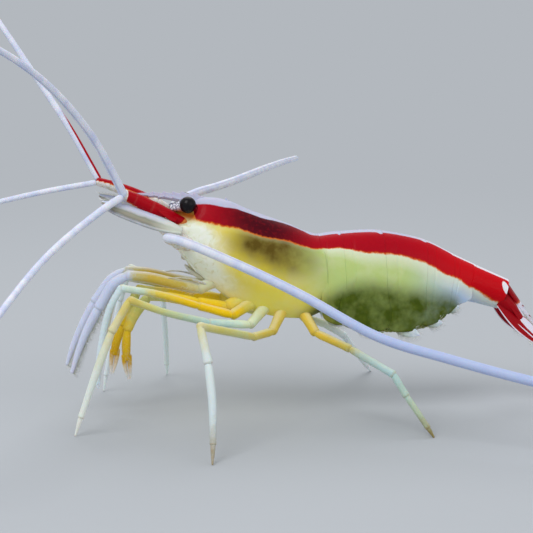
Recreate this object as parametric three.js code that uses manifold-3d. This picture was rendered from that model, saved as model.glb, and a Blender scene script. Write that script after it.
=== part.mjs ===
// Pacific cleaner shrimp, Lysmata amboinensis: a still, life-size model of an adult carrying its eggs.
// Millimetres, +Z up, head towards -X, the animal's right side towards +Y. It stands on six feet at z = 0.
import * as THREE from 'three';
import { mergeVertices } from 'three/addons/utils/BufferGeometryUtils.js';
import Module from 'manifold-3d';

const wasm = await Module();
wasm.setup();

// ---- driving dimensions ----
const GAP = 0.14; // air left between neighbouring pieces
const PLATE = 0.5; // thickness of fins, scales and side plates
const BODY_SIDES = 18;
const LIMB_SIDES = 6;
const FEELER_STEPS = 12;
// Half thickness of a feeler at its root and at its tip.
const FEELER_ENDS = { antennule_outer: [0.46, 0.3], antennule_inner: [0.42, 0.25], antenna: [0.55, 0.5] };
const SIDES = { left: -1, right: 1 };

// Head and chest: place along x, top z, bottom z, half width.
const CHEST = [
  [-16.0, 24.9, 22.7, 0.7],
  [-15.0, 25.1, 20.4, 1.5],
  [-14.0, 25.4, 18.8, 2.0],
  [-12.6, 26.1, 17.2, 2.6],
  [-10.6, 26.3, 15.4, 3.1],
  [-8.4, 25.8, 13.6, 3.5],
  [-6.0, 24.7, 12.3, 3.8],
  [-3.6, 23.8, 11.6, 4.0],
  [-1.2, 22.9, 11.3, 4.05],
  [0.8, 21.95, 11.5, 4.0],
  [2.1, 21.65, 12.2, 3.9],
];
const CHEST_STEPS = 17;
const CHEST_MIDDLE = 0.45; // height of the widest place, as a share of the section

// Beak and the keel that it grows from: place along x, top z, bottom z, half width.
const BEAK = [
  [-19.5, 26.95, 26.75, 0.12],
  [-18.6, 27.05, 26.4, 0.25],
  [-16.8, 27.0, 26.15, 0.28],
  [-15.0, 26.9, 25.9, 0.32],
  [-13.4, 26.8, 25.5, 0.38],
  [-11.6, 26.5, 25.2, 0.45],
  [-9.0, 25.95, 25.0, 0.42],
  [-6.5, 24.95, 24.2, 0.36],
  [-3.5, 23.7, 23.2, 0.3],
];
const TEETH_ABOVE = [[-17.9, 27.0], [-15.9, 26.95], [-14.1, 26.9], [-12.4, 26.6], [-8.6, 26.05]];
const TEETH_BELOW = [[-17.6, 26.3], [-16.3, 26.1]];
const TOOTH = { length: 1.3, half: 0.2, height: 0.35 };

const EYE = { radius: 0.98, x: -13.6, out: 1.95, z: 25.7 };

// Rings of the tail part: each edge is back x, back z, lower x, lower z, half width.
const RING_EDGES = [
  [2.15, 21.7, 2.2, 12.3, 3.75],
  [4.6, 21.85, 5.0, 10.8, 3.85],
  [9.6, 21.9, 9.8, 10.1, 3.8],
  [15.1, 20.7, 14.1, 10.2, 3.5],
  [18.7, 18.9, 17.3, 11.3, 3.0],
  [21.5, 17.5, 19.8, 13.0, 2.4],
  [25.7, 15.5, 24.2, 12.2, 1.7],
];
const RING_STEPS = 4;
const RING_TUCK = 0.07; // how much narrower a ring is where it slips under the one in front
const LOBE = 0.09; // how much shallower a side plate is at its corners
const MUSCLE = 0.55; // share of a ring's height that is solid, above the hanging side plates
const PLATE_HEM = 0.92; // half width at the hem of a side plate, as a share of the ring's
const EGGS = { front: 0.7, back: 4.85, steps: 9, sides: 12, sag: 0.3 };
// Paddles of rings 1 to 5: length, degrees below level, half width; rooted `place` before the rear edge.
const PADDLES = [[2.0, 24, 0.45], [3.1, 22, 0.65], [3.1, 20, 0.65], [1.8, 0, 0.5], [1.3, -25, 0.45]];
const PADDLE_ROOT = { place: 0.7, thick: 0.4 };

const TAIL = { x: 25.85, z: 15.05, slope: 54 };
// Blades of the tail fan: spread and roll in degrees, place out, under and along, length and half widths.
const FAN = {
  telson: { spread: 0, roll: 0, out: 0, under: 0, along: 0, length: 6.6,
    halfWidths: [0.85, 1.0, 0.95, 0.8, 0.62, 0.42] },
  inner: { spread: 7, roll: 18, out: 0.85, under: 0.9, along: 0.55, length: 6.9,
    halfWidths: [0.45, 0.85, 1.05, 1.05, 0.9, 0.5] },
  outer: { spread: 14, roll: 34, out: 1.5, under: 2.06, along: 1.1, length: 7.3,
    halfWidths: [0.5, 0.95, 1.2, 1.25, 1.1, 0.65] },
};

// Stalks of the first feelers, from the head outwards: x, y, z, half width, half height.
const ANTENNULE = {
  left: [[-14.8, -1.35, 23.9, 0.6], [-16.3, -1.65, 24.6, 0.8], [-17.9, -1.9, 25.45, 0.84],
    [-19.8, -2.2, 26.5, 0.75], [-21.1, -2.5, 27.2, 0.5]],
  right: [[-14.8, 1.4, 24.1, 0.6], [-17.0, 1.65, 25.3, 0.76], [-20.0, 1.7, 26.75, 0.7],
    [-22.4, 1.6, 27.7, 0.6], [-23.8, 1.5, 28.15, 0.45]],
};
const ANTENNA_BASE = [[-13.0, 1.7, 20.9, 0.9], [-14.5, 2.7, 21.5, 0.95], [-15.9, 3.6, 22.1, 0.6]];
const SCALE = { root: [-14.6, 3.4, 22.9], tip: [-23.7, 3.2, 26.4], roll: 52,
  halfWidths: [0.5, 0.9, 1.05, 1.05, 0.95, 0.75, 0.3] };

// Routes of the six long feelers, root to tip.
const FEELERS = {
  antennule_outer_flagellum_left: [[-21.2, -2.8, 27.3], [-22.5, -3.8, 30.0], [-25.2, -6.2, 34.9],
    [-30.7, -11.3, 41.4], [-37.5, -17.0, 46.0], [-46.0, -22.0, 49.0]],
  antennule_inner_flagellum_left: [[-21.6, -3.2, 26.8], [-23.5, -4.7, 25.85], [-29.8, -11.0, 21.85],
    [-35.3, -21.0, 17.2], [-38.5, -29.5, 14.0], [-41.0, -38.0, 12.0]],
  antennule_outer_flagellum_right: [[-23.9, 1.9, 28.6], [-27.0, 2.6, 34.3], [-30.6, 4.0, 40.0],
    [-34.9, 6.0, 46.6], [-40.0, 8.5, 54.0], [-46.0, 11.5, 61.0]],
  antennule_inner_flagellum_right: [[-24.4, 1.3, 28.1], [-30.0, 2.0, 27.1], [-35.6, 3.5, 25.75],
    [-44.0, 6.5, 23.5], [-54.0, 11.5, 21.5], [-64.0, 18.0, 20.5]],
  antenna_flagellum_left: [[-16.2, -4.1, 22.2], [-14.9, -4.9, 22.0], [-7.9, -6.6, 19.1], [-1.4, -9.4, 16.1],
    [6.8, -15.0, 12.0], [13.9, -19.0, 10.2], [22.0, -24.0, 8.6], [34.0, -31.0, 6.8], [46.0, -37.5, 6.0]],
  antenna_flagellum_right: [[-16.2, 4.1, 22.2], [-15.7, 5.0, 22.9], [-14.3, 5.8, 24.9], [-11.8, 6.8, 25.95],
    [-9.25, 9.5, 26.25], [-6.3, 14.0, 26.45], [-3.0, 21.0, 26.5], [0.6, 31.0, 26.15], [4.75, 44.0, 25.4],
    [8.4, 56.0, 24.5]],
};

// Limbs by their joints, body outwards: x, y, z, half thickness. Each is in two pieces that meet at the joint
// numbered `knee`. The walking legs end in feet at z = 0.
const LIMBS = [
  { name: 'maxilliped', side: 'left', knee: 4, joints: [
    [-9.8, -1.5, 16.0, 0.6], [-12.3, -1.7, 15.65, 0.62], [-14.7, -1.8, 16.2, 0.62],
    [-18.3, -1.9, 17.15, 0.62], [-20.8, -1.9, 17.45, 0.58], [-22.4, -1.9, 16.5, 0.6],
    [-24.2, -1.9, 13.7, 0.58], [-25.7, -1.9, 10.9, 0.48], [-26.8, -1.9, 8.2, 0.36],
    [-27.5, -1.9, 6.0, 0.25]] },
  { name: 'maxilliped', side: 'right', knee: 4, joints: [
    [-9.8, 1.5, 16.0, 0.6], [-12.3, 1.7, 15.65, 0.62], [-14.6, 1.7, 16.15, 0.62],
    [-18.3, 1.6, 17.1, 0.62], [-20.7, 1.5, 17.4, 0.58], [-22.4, 1.5, 16.5, 0.6],
    [-24.5, 1.5, 13.8, 0.58], [-26.1, 1.5, 10.9, 0.48], [-27.3, 1.5, 8.2, 0.36], [-28.0, 1.5, 6.2, 0.25]] },
  { name: 'leg_1', side: 'left', knee: 4, joints: [
    [-6.8, -1.9, 13.8, 0.7], [-9.0, -2.4, 13.2, 0.72], [-12.5, -2.7, 14.1, 0.64],
    [-16.0, -2.8, 14.9, 0.6], [-18.3, -2.8, 15.2, 0.58], [-20.1, -2.8, 12.9, 0.62],
    [-20.9, -2.8, 11.2, 0.52], [-21.1, -2.8, 9.2, 0.62], [-21.0, -2.8, 7.0, 0.52],
    [-20.8, -2.8, 5.4, 0.25]] },
  { name: 'leg_1', side: 'right', knee: 4, joints: [
    [-6.8, 1.9, 13.8, 0.7], [-9.0, 2.3, 13.3, 0.72], [-12.6, 2.6, 13.9, 0.62], [-16.4, 2.7, 14.5, 0.58],
    [-19.3, 2.7, 14.9, 0.56], [-20.3, 2.6, 12.6, 0.56], [-21.1, 2.4, 10.6, 0.5],
    [-22.0, 2.2, 8.6, 0.62], [-22.3, 2.1, 6.6, 0.52], [-22.6, 2.0, 4.9, 0.25]] },
  { name: 'leg_2', side: 'left', knee: 4, joints: [
    [-5.4, -2.6, 13.2, 0.55], [-8.6, -3.9, 12.8, 0.52], [-12.5, -4.2, 14.0, 0.45],
    [-17.3, -4.5, 15.6, 0.45], [-21.7, -4.6, 16.5, 0.42], [-23.0, -4.6, 14.2, 0.4],
    [-24.1, -4.6, 10.0, 0.36], [-24.6, -4.6, 6.6, 0.36], [-24.5, -4.6, 4.7, 0.25]] },
  { name: 'leg_2', side: 'right', knee: 4, joints: [
    [-5.4, 2.6, 13.2, 0.55], [-8.6, 3.8, 12.6, 0.52], [-12.5, 4.0, 14.0, 0.45],
    [-17.0, 3.8, 15.4, 0.42], [-21.1, 3.6, 16.3, 0.4], [-22.2, 3.6, 13.6, 0.4], [-23.3, 3.6, 9.2, 0.36],
    [-24.0, 3.6, 5.2, 0.36], [-24.2, 3.6, 3.4, 0.25]] },
  { name: 'leg_3', side: 'left', knee: 4, joints: [
    [-3.9, -2.4, 12.8, 0.55], [-6.6, -4.6, 11.7, 0.52], [-11.5, -5.6, 12.3, 0.45],
    [-16.7, -6.8, 13.9, 0.42], [-20.9, -7.9, 15.7, 0.42], [-23.0, -8.3, 12.2, 0.38],
    [-24.6, -8.5, 8.2, 0.36], [-26.5, -8.5, 3.0, 0.32], [-27.4, -8.4, 0, 0.28]] },
  { name: 'leg_3', side: 'right', knee: 4, joints: [
    [-3.9, 2.4, 12.8, 0.55], [-6.6, 4.6, 11.9, 0.52], [-11.5, 6.0, 13.4, 0.45],
    [-16.5, 7.4, 15.4, 0.42], [-19.9, 8.5, 16.6, 0.42], [-21.1, 9.4, 12.4, 0.38],
    [-21.9, 10.4, 8.0, 0.36], [-22.8, 11.6, 3.0, 0.32], [-23.2, 12.2, 0, 0.28]] },
  { name: 'leg_4', side: 'left', knee: 3, joints: [
    [-1.8, -2.4, 12.4, 0.55], [-4.0, -5.0, 10.9, 0.52], [-6.6, -7.6, 10.9, 0.46],
    [-13.5, -14.5, 13.8, 0.44], [-12.8, -16.2, 10.0, 0.4], [-12.6, -18.4, 6.0, 0.38],
    [-12.8, -20.8, 2.0, 0.32], [-13.0, -22.0, 0, 0.28]] },
  { name: 'leg_4', side: 'right', knee: 3, joints: [
    [-1.8, 2.4, 12.4, 0.55], [-4.4, 5.0, 11.2, 0.52], [-10.0, 8.2, 13.0, 0.46],
    [-15.7, 11.2, 15.2, 0.44], [-15.4, 13.6, 10.6, 0.38], [-14.9, 16.6, 5.8, 0.36],
    [-14.6, 19.0, 1.8, 0.32], [-14.5, 20.0, 0, 0.28]] },
  { name: 'leg_5', side: 'left', knee: 3, joints: [
    [-0.2, -2.4, 12.2, 0.55], [1.2, -4.6, 10.2, 0.52], [4.8, -7.4, 8.8, 0.46], [9.3, -11.0, 6.5, 0.44],
    [11.0, -12.6, 3.8, 0.38], [12.8, -14.4, 0.9, 0.32], [13.3, -14.8, 0, 0.28]] },
  { name: 'leg_5', side: 'right', knee: 3, joints: [
    [-0.2, 2.4, 12.2, 0.55], [1.4, 4.8, 10.4, 0.52], [4.4, 8.0, 8.9, 0.46], [7.7, 11.7, 6.5, 0.44],
    [9.6, 14.2, 3.8, 0.38], [12.0, 17.4, 0.8, 0.32], [12.6, 18.2, 0, 0.28]] },
];
const LIMB_PIECES = { leg_1: ['arm', 'claw'], other: ['upper', 'lower'] };
const MOUTH = [[-14.1, 0, 19.1, 0.5, 0.5], [-12.7, 0, 17.9, 0.8, 0.85], [-11.4, 0, 16.7, 0.8, 0.8],
  [-10.4, 0, 15.8, 0.6, 0.5]];

const COLOURS = {
  red: 0xb8121c,
  yellow: 0xd9b63a,
  amber: 0xe0a020,
  palegreen: 0xc3cf96,
  lilac: 0xd8daf0,
  olive: 0x6d7a2a,
  black: 0x0c0d10,
};

// ---- shape helpers ----
const point = (x, y, z) => new THREE.Vector3(x, y, z);
const mix = THREE.MathUtils.lerp;
const radians = THREE.MathUtils.degToRad;

// Smooth values between stations; each row is [place, value, value, ...].
function stations(rows) {
  const places = rows.map((row) => row[0]);
  const values = rows.flatMap((row) => row.slice(1));
  const curve = new THREE.CubicInterpolant(places, values, rows[0].length - 1);
  return (place) => Array.from(curve.evaluate(place));
}

function manifoldOf(corners, faces) {
  return new wasm.Manifold(new wasm.Mesh({
    numProp: 3,
    vertProperties: new Float32Array(corners.flatMap((corner) => corner.toArray())),
    triVerts: new Uint32Array(faces.flat()),
  }));
}

// The flat end of a loft, as triangles that turn the same way as its ring.
function capFaces(ring) {
  const normal = point(0, 0, 0);
  ring.forEach((corner, i) => normal.add(corner.clone().cross(ring[(i + 1) % ring.length])));
  normal.normalize();
  const across = ring[1].clone().sub(ring[0]).projectOnPlane(normal).normalize();
  const upright = normal.clone().cross(across);
  const outline = ring.map((corner) => new THREE.Vector2(corner.dot(across), corner.dot(upright)));
  return THREE.ShapeUtils.triangulateShape(outline, []).map(([a, b, c]) => {
    const turn = outline[b].clone().sub(outline[a]).cross(outline[c].clone().sub(outline[a]));
    return turn > 0 ? [a, b, c] : [a, c, b];
  });
}

// A closed solid through a row of rings that have the same number of corners.
function loft(rings) {
  const count = rings[0].length;
  const last = (rings.length - 1) * count;
  const faces = [];
  for (let start = 0; start < last; start += count) {
    for (let i = 0; i < count; i += 1) {
      const a = start + i;
      const b = start + ((i + 1) % count);
      faces.push([a, b, b + count], [a, b + count, a + count]);
    }
  }
  capFaces(rings[0]).forEach(([a, b, c]) => faces.push([a, c, b]));
  capFaces(rings[rings.length - 1]).forEach(([a, b, c]) => faces.push([last + a, last + b, last + c]));
  const corners = rings.flat();
  const volume = faces.reduce((sum, [a, b, c]) => {
    return sum + corners[a].dot(corners[b].clone().cross(corners[c]));
  }, 0);
  return manifoldOf(corners, volume > 0 ? faces : faces.map(([a, b, c]) => [a, c, b]));
}

const join = (solids) => solids.reduce((whole, solid) => whole.add(solid));

// What is left of a solid beside its neighbours: the largest body, without loose crumbs.
function trim(solid, neighbours) {
  const rest = neighbours.reduce((left, neighbour) => left.subtract(neighbour), solid);
  return rest.decompose().reduce((best, body) => (body.volume() > best.volume() ? body : best));
}

// A tapering rod through rows of [x, y, z, half width, half height]; its width lies along `across`.
// A foot's last ring is laid flat on the floor.
function rod(rows, { sides = LIMB_SIDES, steps = 2, across = point(0, 1, 0), grow = 0, foot = false } = {}) {
  const route = stations(rows.map((row, i) => [i, ...row.slice(0, 4), row[4] ?? row[3]]));
  const end = rows.length - 1;
  const rings = [];
  for (let k = 0; k <= end * steps; k += 1) {
    const place = k / steps;
    const [x, y, z, wide, high] = route(place);
    const ahead = point(...route(Math.min(place + 0.2, end)));
    const tangent = ahead.sub(point(...route(Math.max(place - 0.2, 0)))).normalize();
    const side = across.clone().projectOnPlane(tangent).normalize();
    const rise = tangent.clone().cross(side);
    const longer = (place === end ? grow : 0) - (place === 0 ? grow : 0);
    const centre = point(x, y, z).addScaledVector(tangent, longer);
    rings.push(Array.from({ length: sides }, (_, i) => {
      const angle = (2 * Math.PI * (i + 0.5)) / sides;
      const corner = centre.clone().addScaledVector(side, Math.cos(angle) * (wide + grow));
      return corner.addScaledVector(rise, Math.sin(angle) * (high + grow));
    }));
  }
  if (foot) {
    rings.at(-1).forEach((corner) => corner.setZ(0));
  }
  return loft(rings);
}

// A thin leaf that starts at `root` and runs `length` along `ahead`; half widths at even places.
function leaf({ root, ahead, across, length, halfWidths, thick = PLATE }) {
  const face = ahead.clone().cross(across).normalize();
  const end = halfWidths.length - 1;
  return loft(halfWidths.map((half, k) => {
    const centre = root.clone().addScaledVector(ahead, (length * k) / end);
    const outline = [[-1, 0], [-0.6, -0.5], [0.6, -0.5], [1, 0], [0.6, 0.5], [-0.6, 0.5]];
    return outline.map(([wide, high]) => {
      return centre.clone().addScaledVector(across, wide * half).addScaledVector(face, high * thick);
    });
  }));
}

// ---- head and chest ----
function chestSolid(grow) {
  const chestAt = stations(CHEST);
  const front = CHEST[0][0];
  const back = CHEST.at(-1)[0];
  const rings = [];
  for (let k = 0; k <= CHEST_STEPS; k += 1) {
    const x = mix(front, back, k / CHEST_STEPS);
    const [top, bottom, half] = chestAt(x);
    const middle = mix(bottom, top, CHEST_MIDDLE);
    rings.push(Array.from({ length: BODY_SIDES }, (_, i) => {
      const angle = (2 * Math.PI * i) / BODY_SIDES;
      const up = Math.cos(angle) >= 0;
      const out = Math.sign(Math.sin(angle)) * Math.abs(Math.sin(angle)) ** (up ? 1.1 : 0.85);
      const rise = Math.sign(Math.cos(angle)) * Math.abs(Math.cos(angle)) ** (up ? 1.0 : 0.9);
      const height = (up ? top - middle : middle - bottom) + grow;
      const place = mix(front - grow, back + grow, k / CHEST_STEPS);
      return point(place, out * (half + grow), middle + rise * height);
    }));
  }
  return loft(rings);
}

function beakSolid() {
  return loft(BEAK.map(([x, top, bottom, half]) => {
    const middle = (top + bottom) / 2;
    const outline = [[0, top], [half, middle], [half * 0.7, bottom], [-half * 0.7, bottom], [-half, middle]];
    return outline.map(([y, z]) => point(x, y, z));
  }));
}

// A tooth of the beak leans forward, out of the ridge at (x, z).
function tooth([x, z], way) {
  const { length, half, height } = TOOTH;
  const base = [x + length / 2, 0, z - way * half, half];
  const middle = [x - length / 4, 0, z + way * height * 0.3, half * 0.9];
  const tip = [x - length / 2, 0, z + way * height, half * 0.3];
  return rod([base, middle, tip], { steps: 1, sides: 5 });
}

function eyeSolid(side, grow) {
  const geometry = new THREE.SphereGeometry(EYE.radius + grow, 12, 8);
  geometry.rotateX(Math.PI / 2);
  geometry.translate(EYE.x, side * EYE.out, EYE.z);
  geometry.deleteAttribute('normal');
  geometry.deleteAttribute('uv');
  const merged = mergeVertices(geometry);
  const corners = [];
  for (let i = 0; i < merged.attributes.position.count; i += 1) {
    corners.push(point(0, 0, 0).fromBufferAttribute(merged.attributes.position, i));
  }
  const faces = [];
  for (let i = 0; i < merged.index.count; i += 3) {
    faces.push([merged.index.getX(i), merged.index.getX(i + 1), merged.index.getX(i + 2)]);
  }
  return manifoldOf(corners, faces);
}

function eyestalkSolid(side, grow) {
  const { x, out, z } = EYE;
  return rod([[x - 1.75, side * 0.62, z - 0.5, 0.4], [x - 1.1, side * 0.95, z - 0.4, 0.52],
    [x - 0.35, side * (out - 0.45), z - 0.1, 0.72], [x, side * out, z, 0.75]], {
    sides: 8, across: point(0, 0, 1), grow,
  });
}

// ---- rings of the tail part ----
// The frame of the rings at `place` from 0 to 6: lower line, upward way, height and half width.
const ringEdgeAt = stations(RING_EDGES.map((row, i) => [i, ...row]));

function ringFrame(place) {
  const [backX, backZ, lowX, lowZ, half] = ringEdgeAt(place);
  const low = point(lowX, 0, lowZ);
  const up = point(backX, 0, backZ).sub(low);
  const tall = up.length();
  return { low, up: up.normalize(), tall, half };
}

// A closed ring in that frame from the outline of its right half, which runs from back to belly.
function mirroredRing({ low, up }, halfOutline) {
  const left = halfOutline.slice(1, -1).reverse().map(([out, rise]) => [-out, rise]);
  return [...halfOutline, ...left].map(([out, rise]) => low.clone().addScaledVector(up, rise).setY(out));
}

// A vault of muscle with two side plates that hang beside the eggs.
function vaultOutline({ tall, half }, tuck, lobe) {
  const wide = half * (1 - tuck);
  const high = tall - tuck * half;
  const under = tall * (1 - MUSCLE);
  const hem = tall * lobe;
  const wall = wide * PLATE_HEM;
  const outside = [[0, 1], [0.42, 0.94], [0.76, 0.8], [0.95, 0.6], [1, 0.42], [0.98, 0.22]];
  const inside = [[wall, hem], [wall - PLATE, hem], [wall - PLATE, under * 0.72], [wide * 0.55, under],
    [0, under]];
  return [...outside.map(([out, rise]) => [out * wide, rise * high]), ...inside];
}

// The sixth ring has no plates or eggs: a plain oval.
function ovalOutline({ tall, half }, tuck) {
  return Array.from({ length: 11 }, (_, i) => {
    const angle = (Math.PI * i) / 10;
    const rise = tall * (0.5 + 0.5 * Math.cos(angle));
    return [half * (1 - tuck) * Math.sin(angle), rise - tuck * half * Math.cos(angle)];
  });
}

function ringSolid(number) {
  const [backX, , lowX] = ringEdgeAt(number - 1);
  const [nextBackX, , nextLowX] = ringEdgeAt(number);
  const share = (1.2 * GAP) / Math.min(nextBackX - backX, nextLowX - lowX);
  const rings = [];
  for (let k = 0; k <= RING_STEPS; k += 1) {
    const along = k / RING_STEPS;
    const frame = ringFrame(mix(number - 1 + share, number, along));
    const tuck = RING_TUCK * (1 - along) ** 2;
    const lobe = LOBE * (2 * along - 1) ** 2;
    const outline = number === 6 ? ovalOutline(frame, tuck) : vaultOutline(frame, tuck, lobe);
    rings.push(mirroredRing(frame, outline));
  }
  return loft(rings);
}

// One of the two paddles under a ring, which fan the eggs.
function paddle(number, side) {
  const frame = ringFrame(number - PADDLE_ROOT.place);
  const [length, degrees, half] = PADDLES[number - 1];
  const slope = radians(degrees);
  const root = frame.low.clone().addScaledVector(frame.up, half * 0.9);
  root.setY(side * (frame.half * (1 - RING_TUCK / 2) * PLATE_HEM - PLATE / 2));
  return leaf({
    root,
    ahead: point(Math.cos(slope), 0, -Math.sin(slope)),
    across: point(Math.sin(slope), 0, Math.cos(slope)),
    length,
    halfWidths: [0.6, 0.95, 1, 0.8, 0.35].map((share) => share * half),
    thick: PADDLE_ROOT.thick,
  });
}

function eggSolid() {
  const rings = [];
  for (let k = 0; k <= EGGS.steps; k += 1) {
    const along = k / EGGS.steps;
    const frame = ringFrame(mix(EGGS.front, EGGS.back, along));
    const swell = Math.sqrt(1 - 0.9 * (2 * along - 1) ** 4);
    const top = frame.tall * (1 - MUSCLE) - GAP;
    const middle = (top - EGGS.sag) / 2;
    const wide = (frame.half * (1 - RING_TUCK) * PLATE_HEM - PLATE - GAP) * swell;
    rings.push(Array.from({ length: EGGS.sides }, (_, i) => {
      const angle = (2 * Math.PI * (i + 0.5)) / EGGS.sides;
      const rise = middle + Math.cos(angle) * (top - middle) * swell;
      return frame.low.clone().addScaledVector(frame.up, rise).setY(wide * Math.sin(angle));
    }));
  }
  return loft(rings);
}

// ---- tail fan ----
function fanBlade({ spread, roll, out, under, along, length, halfWidths }, side) {
  const slope = radians(TAIL.slope);
  const down = point(Math.cos(slope), 0, -Math.sin(slope));
  const face = point(Math.sin(slope), 0, Math.cos(slope));
  const sideways = point(0, side, 0);
  const turn = radians(spread);
  const ahead = down.clone().multiplyScalar(Math.cos(turn)).addScaledVector(sideways, Math.sin(turn));
  const flat = sideways.clone().multiplyScalar(Math.cos(turn)).addScaledVector(down, -Math.sin(turn));
  const across = flat.multiplyScalar(Math.cos(radians(roll))).addScaledVector(face, -Math.sin(radians(roll)));
  const root = point(TAIL.x, side * out, TAIL.z).addScaledVector(face, -under).addScaledVector(down, along);
  return leaf({ root, ahead, across, length, halfWidths });
}

// ---- head appendages ----
const mirrored = (rows, side) => rows.map(([x, y, ...rest]) => [x, side * y, ...rest]);

function feeler(name, grow = 0) {
  const curve = new THREE.CatmullRomCurve3(FEELERS[name].map((place) => point(...place)));
  const [rootHalf, tipHalf] = FEELER_ENDS[name.split('_flagellum')[0]];
  const rows = curve.getSpacedPoints(FEELER_STEPS).map((place, i) => {
    return [...place.toArray(), mix(rootHalf, tipHalf, i / FEELER_STEPS)];
  });
  return rod(rows, { steps: 1, across: point(0, 0, 1), grow });
}

function scaleLeaf(side) {
  const [rootX, rootY, rootZ] = SCALE.root;
  const [tipX, tipY, tipZ] = SCALE.tip;
  const root = point(rootX, side * rootY, rootZ);
  const ahead = point(tipX, side * tipY, tipZ).sub(root);
  const length = ahead.length();
  ahead.normalize();
  const roll = radians(SCALE.roll);
  const across = point(0, side * Math.cos(roll), -Math.sin(roll)).projectOnPlane(ahead).normalize();
  return leaf({ root, ahead, across, length, halfWidths: SCALE.halfWidths });
}

// ---- the animal ----
const shrimp = new THREE.Group();
const placed = new THREE.Group();
shrimp.add(placed);

function addPiece(name, solid, colour, roughness = 0.35) {
  const { vertProperties, triVerts } = solid.getMesh();
  const geometry = new THREE.BufferGeometry();
  geometry.setAttribute('position', new THREE.BufferAttribute(vertProperties, 3));
  geometry.setIndex(new THREE.BufferAttribute(triVerts, 1));
  geometry.computeVertexNormals();
  const material = new THREE.MeshStandardMaterial({ color: COLOURS[colour], roughness, metalness: 0 });
  const mesh = new THREE.Mesh(geometry, material);
  mesh.name = name;
  placed.add(mesh);
}

const chestWithAir = chestSolid(GAP);
const eyes = Object.values(SIDES).map((side) => eyeSolid(side, GAP));
const stalks = Object.values(SIDES).map((side) => eyestalkSolid(side, GAP));
const teethAbove = TEETH_ABOVE.map((place) => tooth(place, 1));
const teethBelow = TEETH_BELOW.map((place) => tooth(place, -1));
const head = join([chestSolid(0), beakSolid(), ...teethAbove, ...teethBelow]);
addPiece('carapace', trim(head, [...eyes, ...stalks]), 'red');
const jawLegs = LIMBS.filter(({ name }) => name === 'maxilliped')
  .map(({ joints }) => rod(joints, { grow: GAP }));
addPiece('mouthparts', trim(rod(MOUTH, { sides: 8 }), [chestWithAir, ...jawLegs]), 'yellow');

for (const [name, side] of Object.entries(SIDES)) {
  const stalkOfFeelers = (grow) => rod(ANTENNULE[name], { sides: 8, grow });
  const base = (grow) => rod(mirrored(ANTENNA_BASE, side), { sides: 8, grow });
  const longFeeler = `antenna_flagellum_${name}`;
  addPiece(`eye_${name}`, eyeSolid(side, 0), 'black', 0.08);
  addPiece(`eyestalk_${name}`, trim(eyestalkSolid(side, 0), [eyeSolid(side, GAP)]), 'lilac');
  addPiece(`antennule_${name}`, trim(stalkOfFeelers(0), [chestWithAir]), 'red');
  addPiece(`antenna_base_${name}`, trim(base(0), [chestWithAir]), 'yellow');
  const beside = [chestWithAir, base(GAP), stalkOfFeelers(GAP), feeler(longFeeler, GAP)];
  addPiece(`antenna_scale_${name}`, trim(scaleLeaf(side), beside), 'lilac');
  addPiece(longFeeler, trim(feeler(longFeeler), [base(GAP)]), 'lilac');
  const outer = `antennule_outer_flagellum_${name}`;
  const inner = `antennule_inner_flagellum_${name}`;
  addPiece(outer, trim(feeler(outer), [stalkOfFeelers(GAP)]), 'lilac');
  addPiece(inner, trim(feeler(inner), [stalkOfFeelers(GAP), feeler(outer, GAP)]), 'lilac');
}

for (let number = 1; number <= 6; number += 1) {
  const paddles = number < 6 ? Object.values(SIDES).map((side) => paddle(number, side)) : [];
  addPiece(`abdomen_${number}`, join([ringSolid(number), ...paddles]), 'palegreen');
}
addPiece('egg_mass', eggSolid(), 'olive', 0.6);

addPiece('telson', fanBlade(FAN.telson, SIDES.right), 'red');
for (const [name, side] of Object.entries(SIDES)) {
  addPiece(`uropod_inner_${name}`, fanBlade(FAN.inner, side), 'red');
  addPiece(`uropod_outer_${name}`, fanBlade(FAN.outer, side), 'red');
}

for (const { name, side, knee, joints } of LIMBS) {
  const [near, far] = LIMB_PIECES[name] ?? LIMB_PIECES.other;
  const upper = (grow) => rod(joints.slice(0, knee + 1), { grow });
  const foot = joints.at(-1)[2] === 0;
  addPiece(`${name}_${near}_${side}`, trim(upper(0), [chestWithAir]), 'amber');
  addPiece(`${name}_${far}_${side}`, trim(rod(joints.slice(knee), { foot }), [upper(GAP)]), 'lilac');
}

// The origin is under the middle of the whole animal, on the floor.
const box = new THREE.Box3().setFromObject(placed);
placed.position.set(-(box.min.x + box.max.x) / 2, -(box.min.y + box.max.y) / 2, -box.min.z);

export default shrimp;
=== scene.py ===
import math

import bmesh
import bpy
import numpy as np
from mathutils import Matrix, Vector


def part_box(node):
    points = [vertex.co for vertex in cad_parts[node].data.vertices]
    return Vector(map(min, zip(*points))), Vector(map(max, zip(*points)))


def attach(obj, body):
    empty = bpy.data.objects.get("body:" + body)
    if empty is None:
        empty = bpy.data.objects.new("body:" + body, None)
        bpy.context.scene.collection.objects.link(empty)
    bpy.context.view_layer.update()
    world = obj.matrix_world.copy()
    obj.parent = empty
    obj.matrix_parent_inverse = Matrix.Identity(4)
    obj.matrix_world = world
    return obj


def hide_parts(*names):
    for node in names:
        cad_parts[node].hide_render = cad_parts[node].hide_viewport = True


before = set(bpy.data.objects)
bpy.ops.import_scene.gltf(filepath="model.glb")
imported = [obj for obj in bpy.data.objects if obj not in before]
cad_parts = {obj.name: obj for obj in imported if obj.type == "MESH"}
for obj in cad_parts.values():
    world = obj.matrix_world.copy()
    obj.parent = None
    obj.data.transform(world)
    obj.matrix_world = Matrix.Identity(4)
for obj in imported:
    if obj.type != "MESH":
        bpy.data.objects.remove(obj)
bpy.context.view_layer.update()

# ---- studio: pale floor, soft lamps and the camera ----
# The animal stands alone on plain pale paper under three soft lamps. Places are in body millimetres: x
# towards the tail, y towards the animal's right and z up from the floor, with y = 0 in the body's middle
# plane.
MM = 1000  # millimetres in a metre
EYE = np.array([-13.6, -1.95, 25.7])  # middle of the left eye
eye_low, eye_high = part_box("eye_left")
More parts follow.
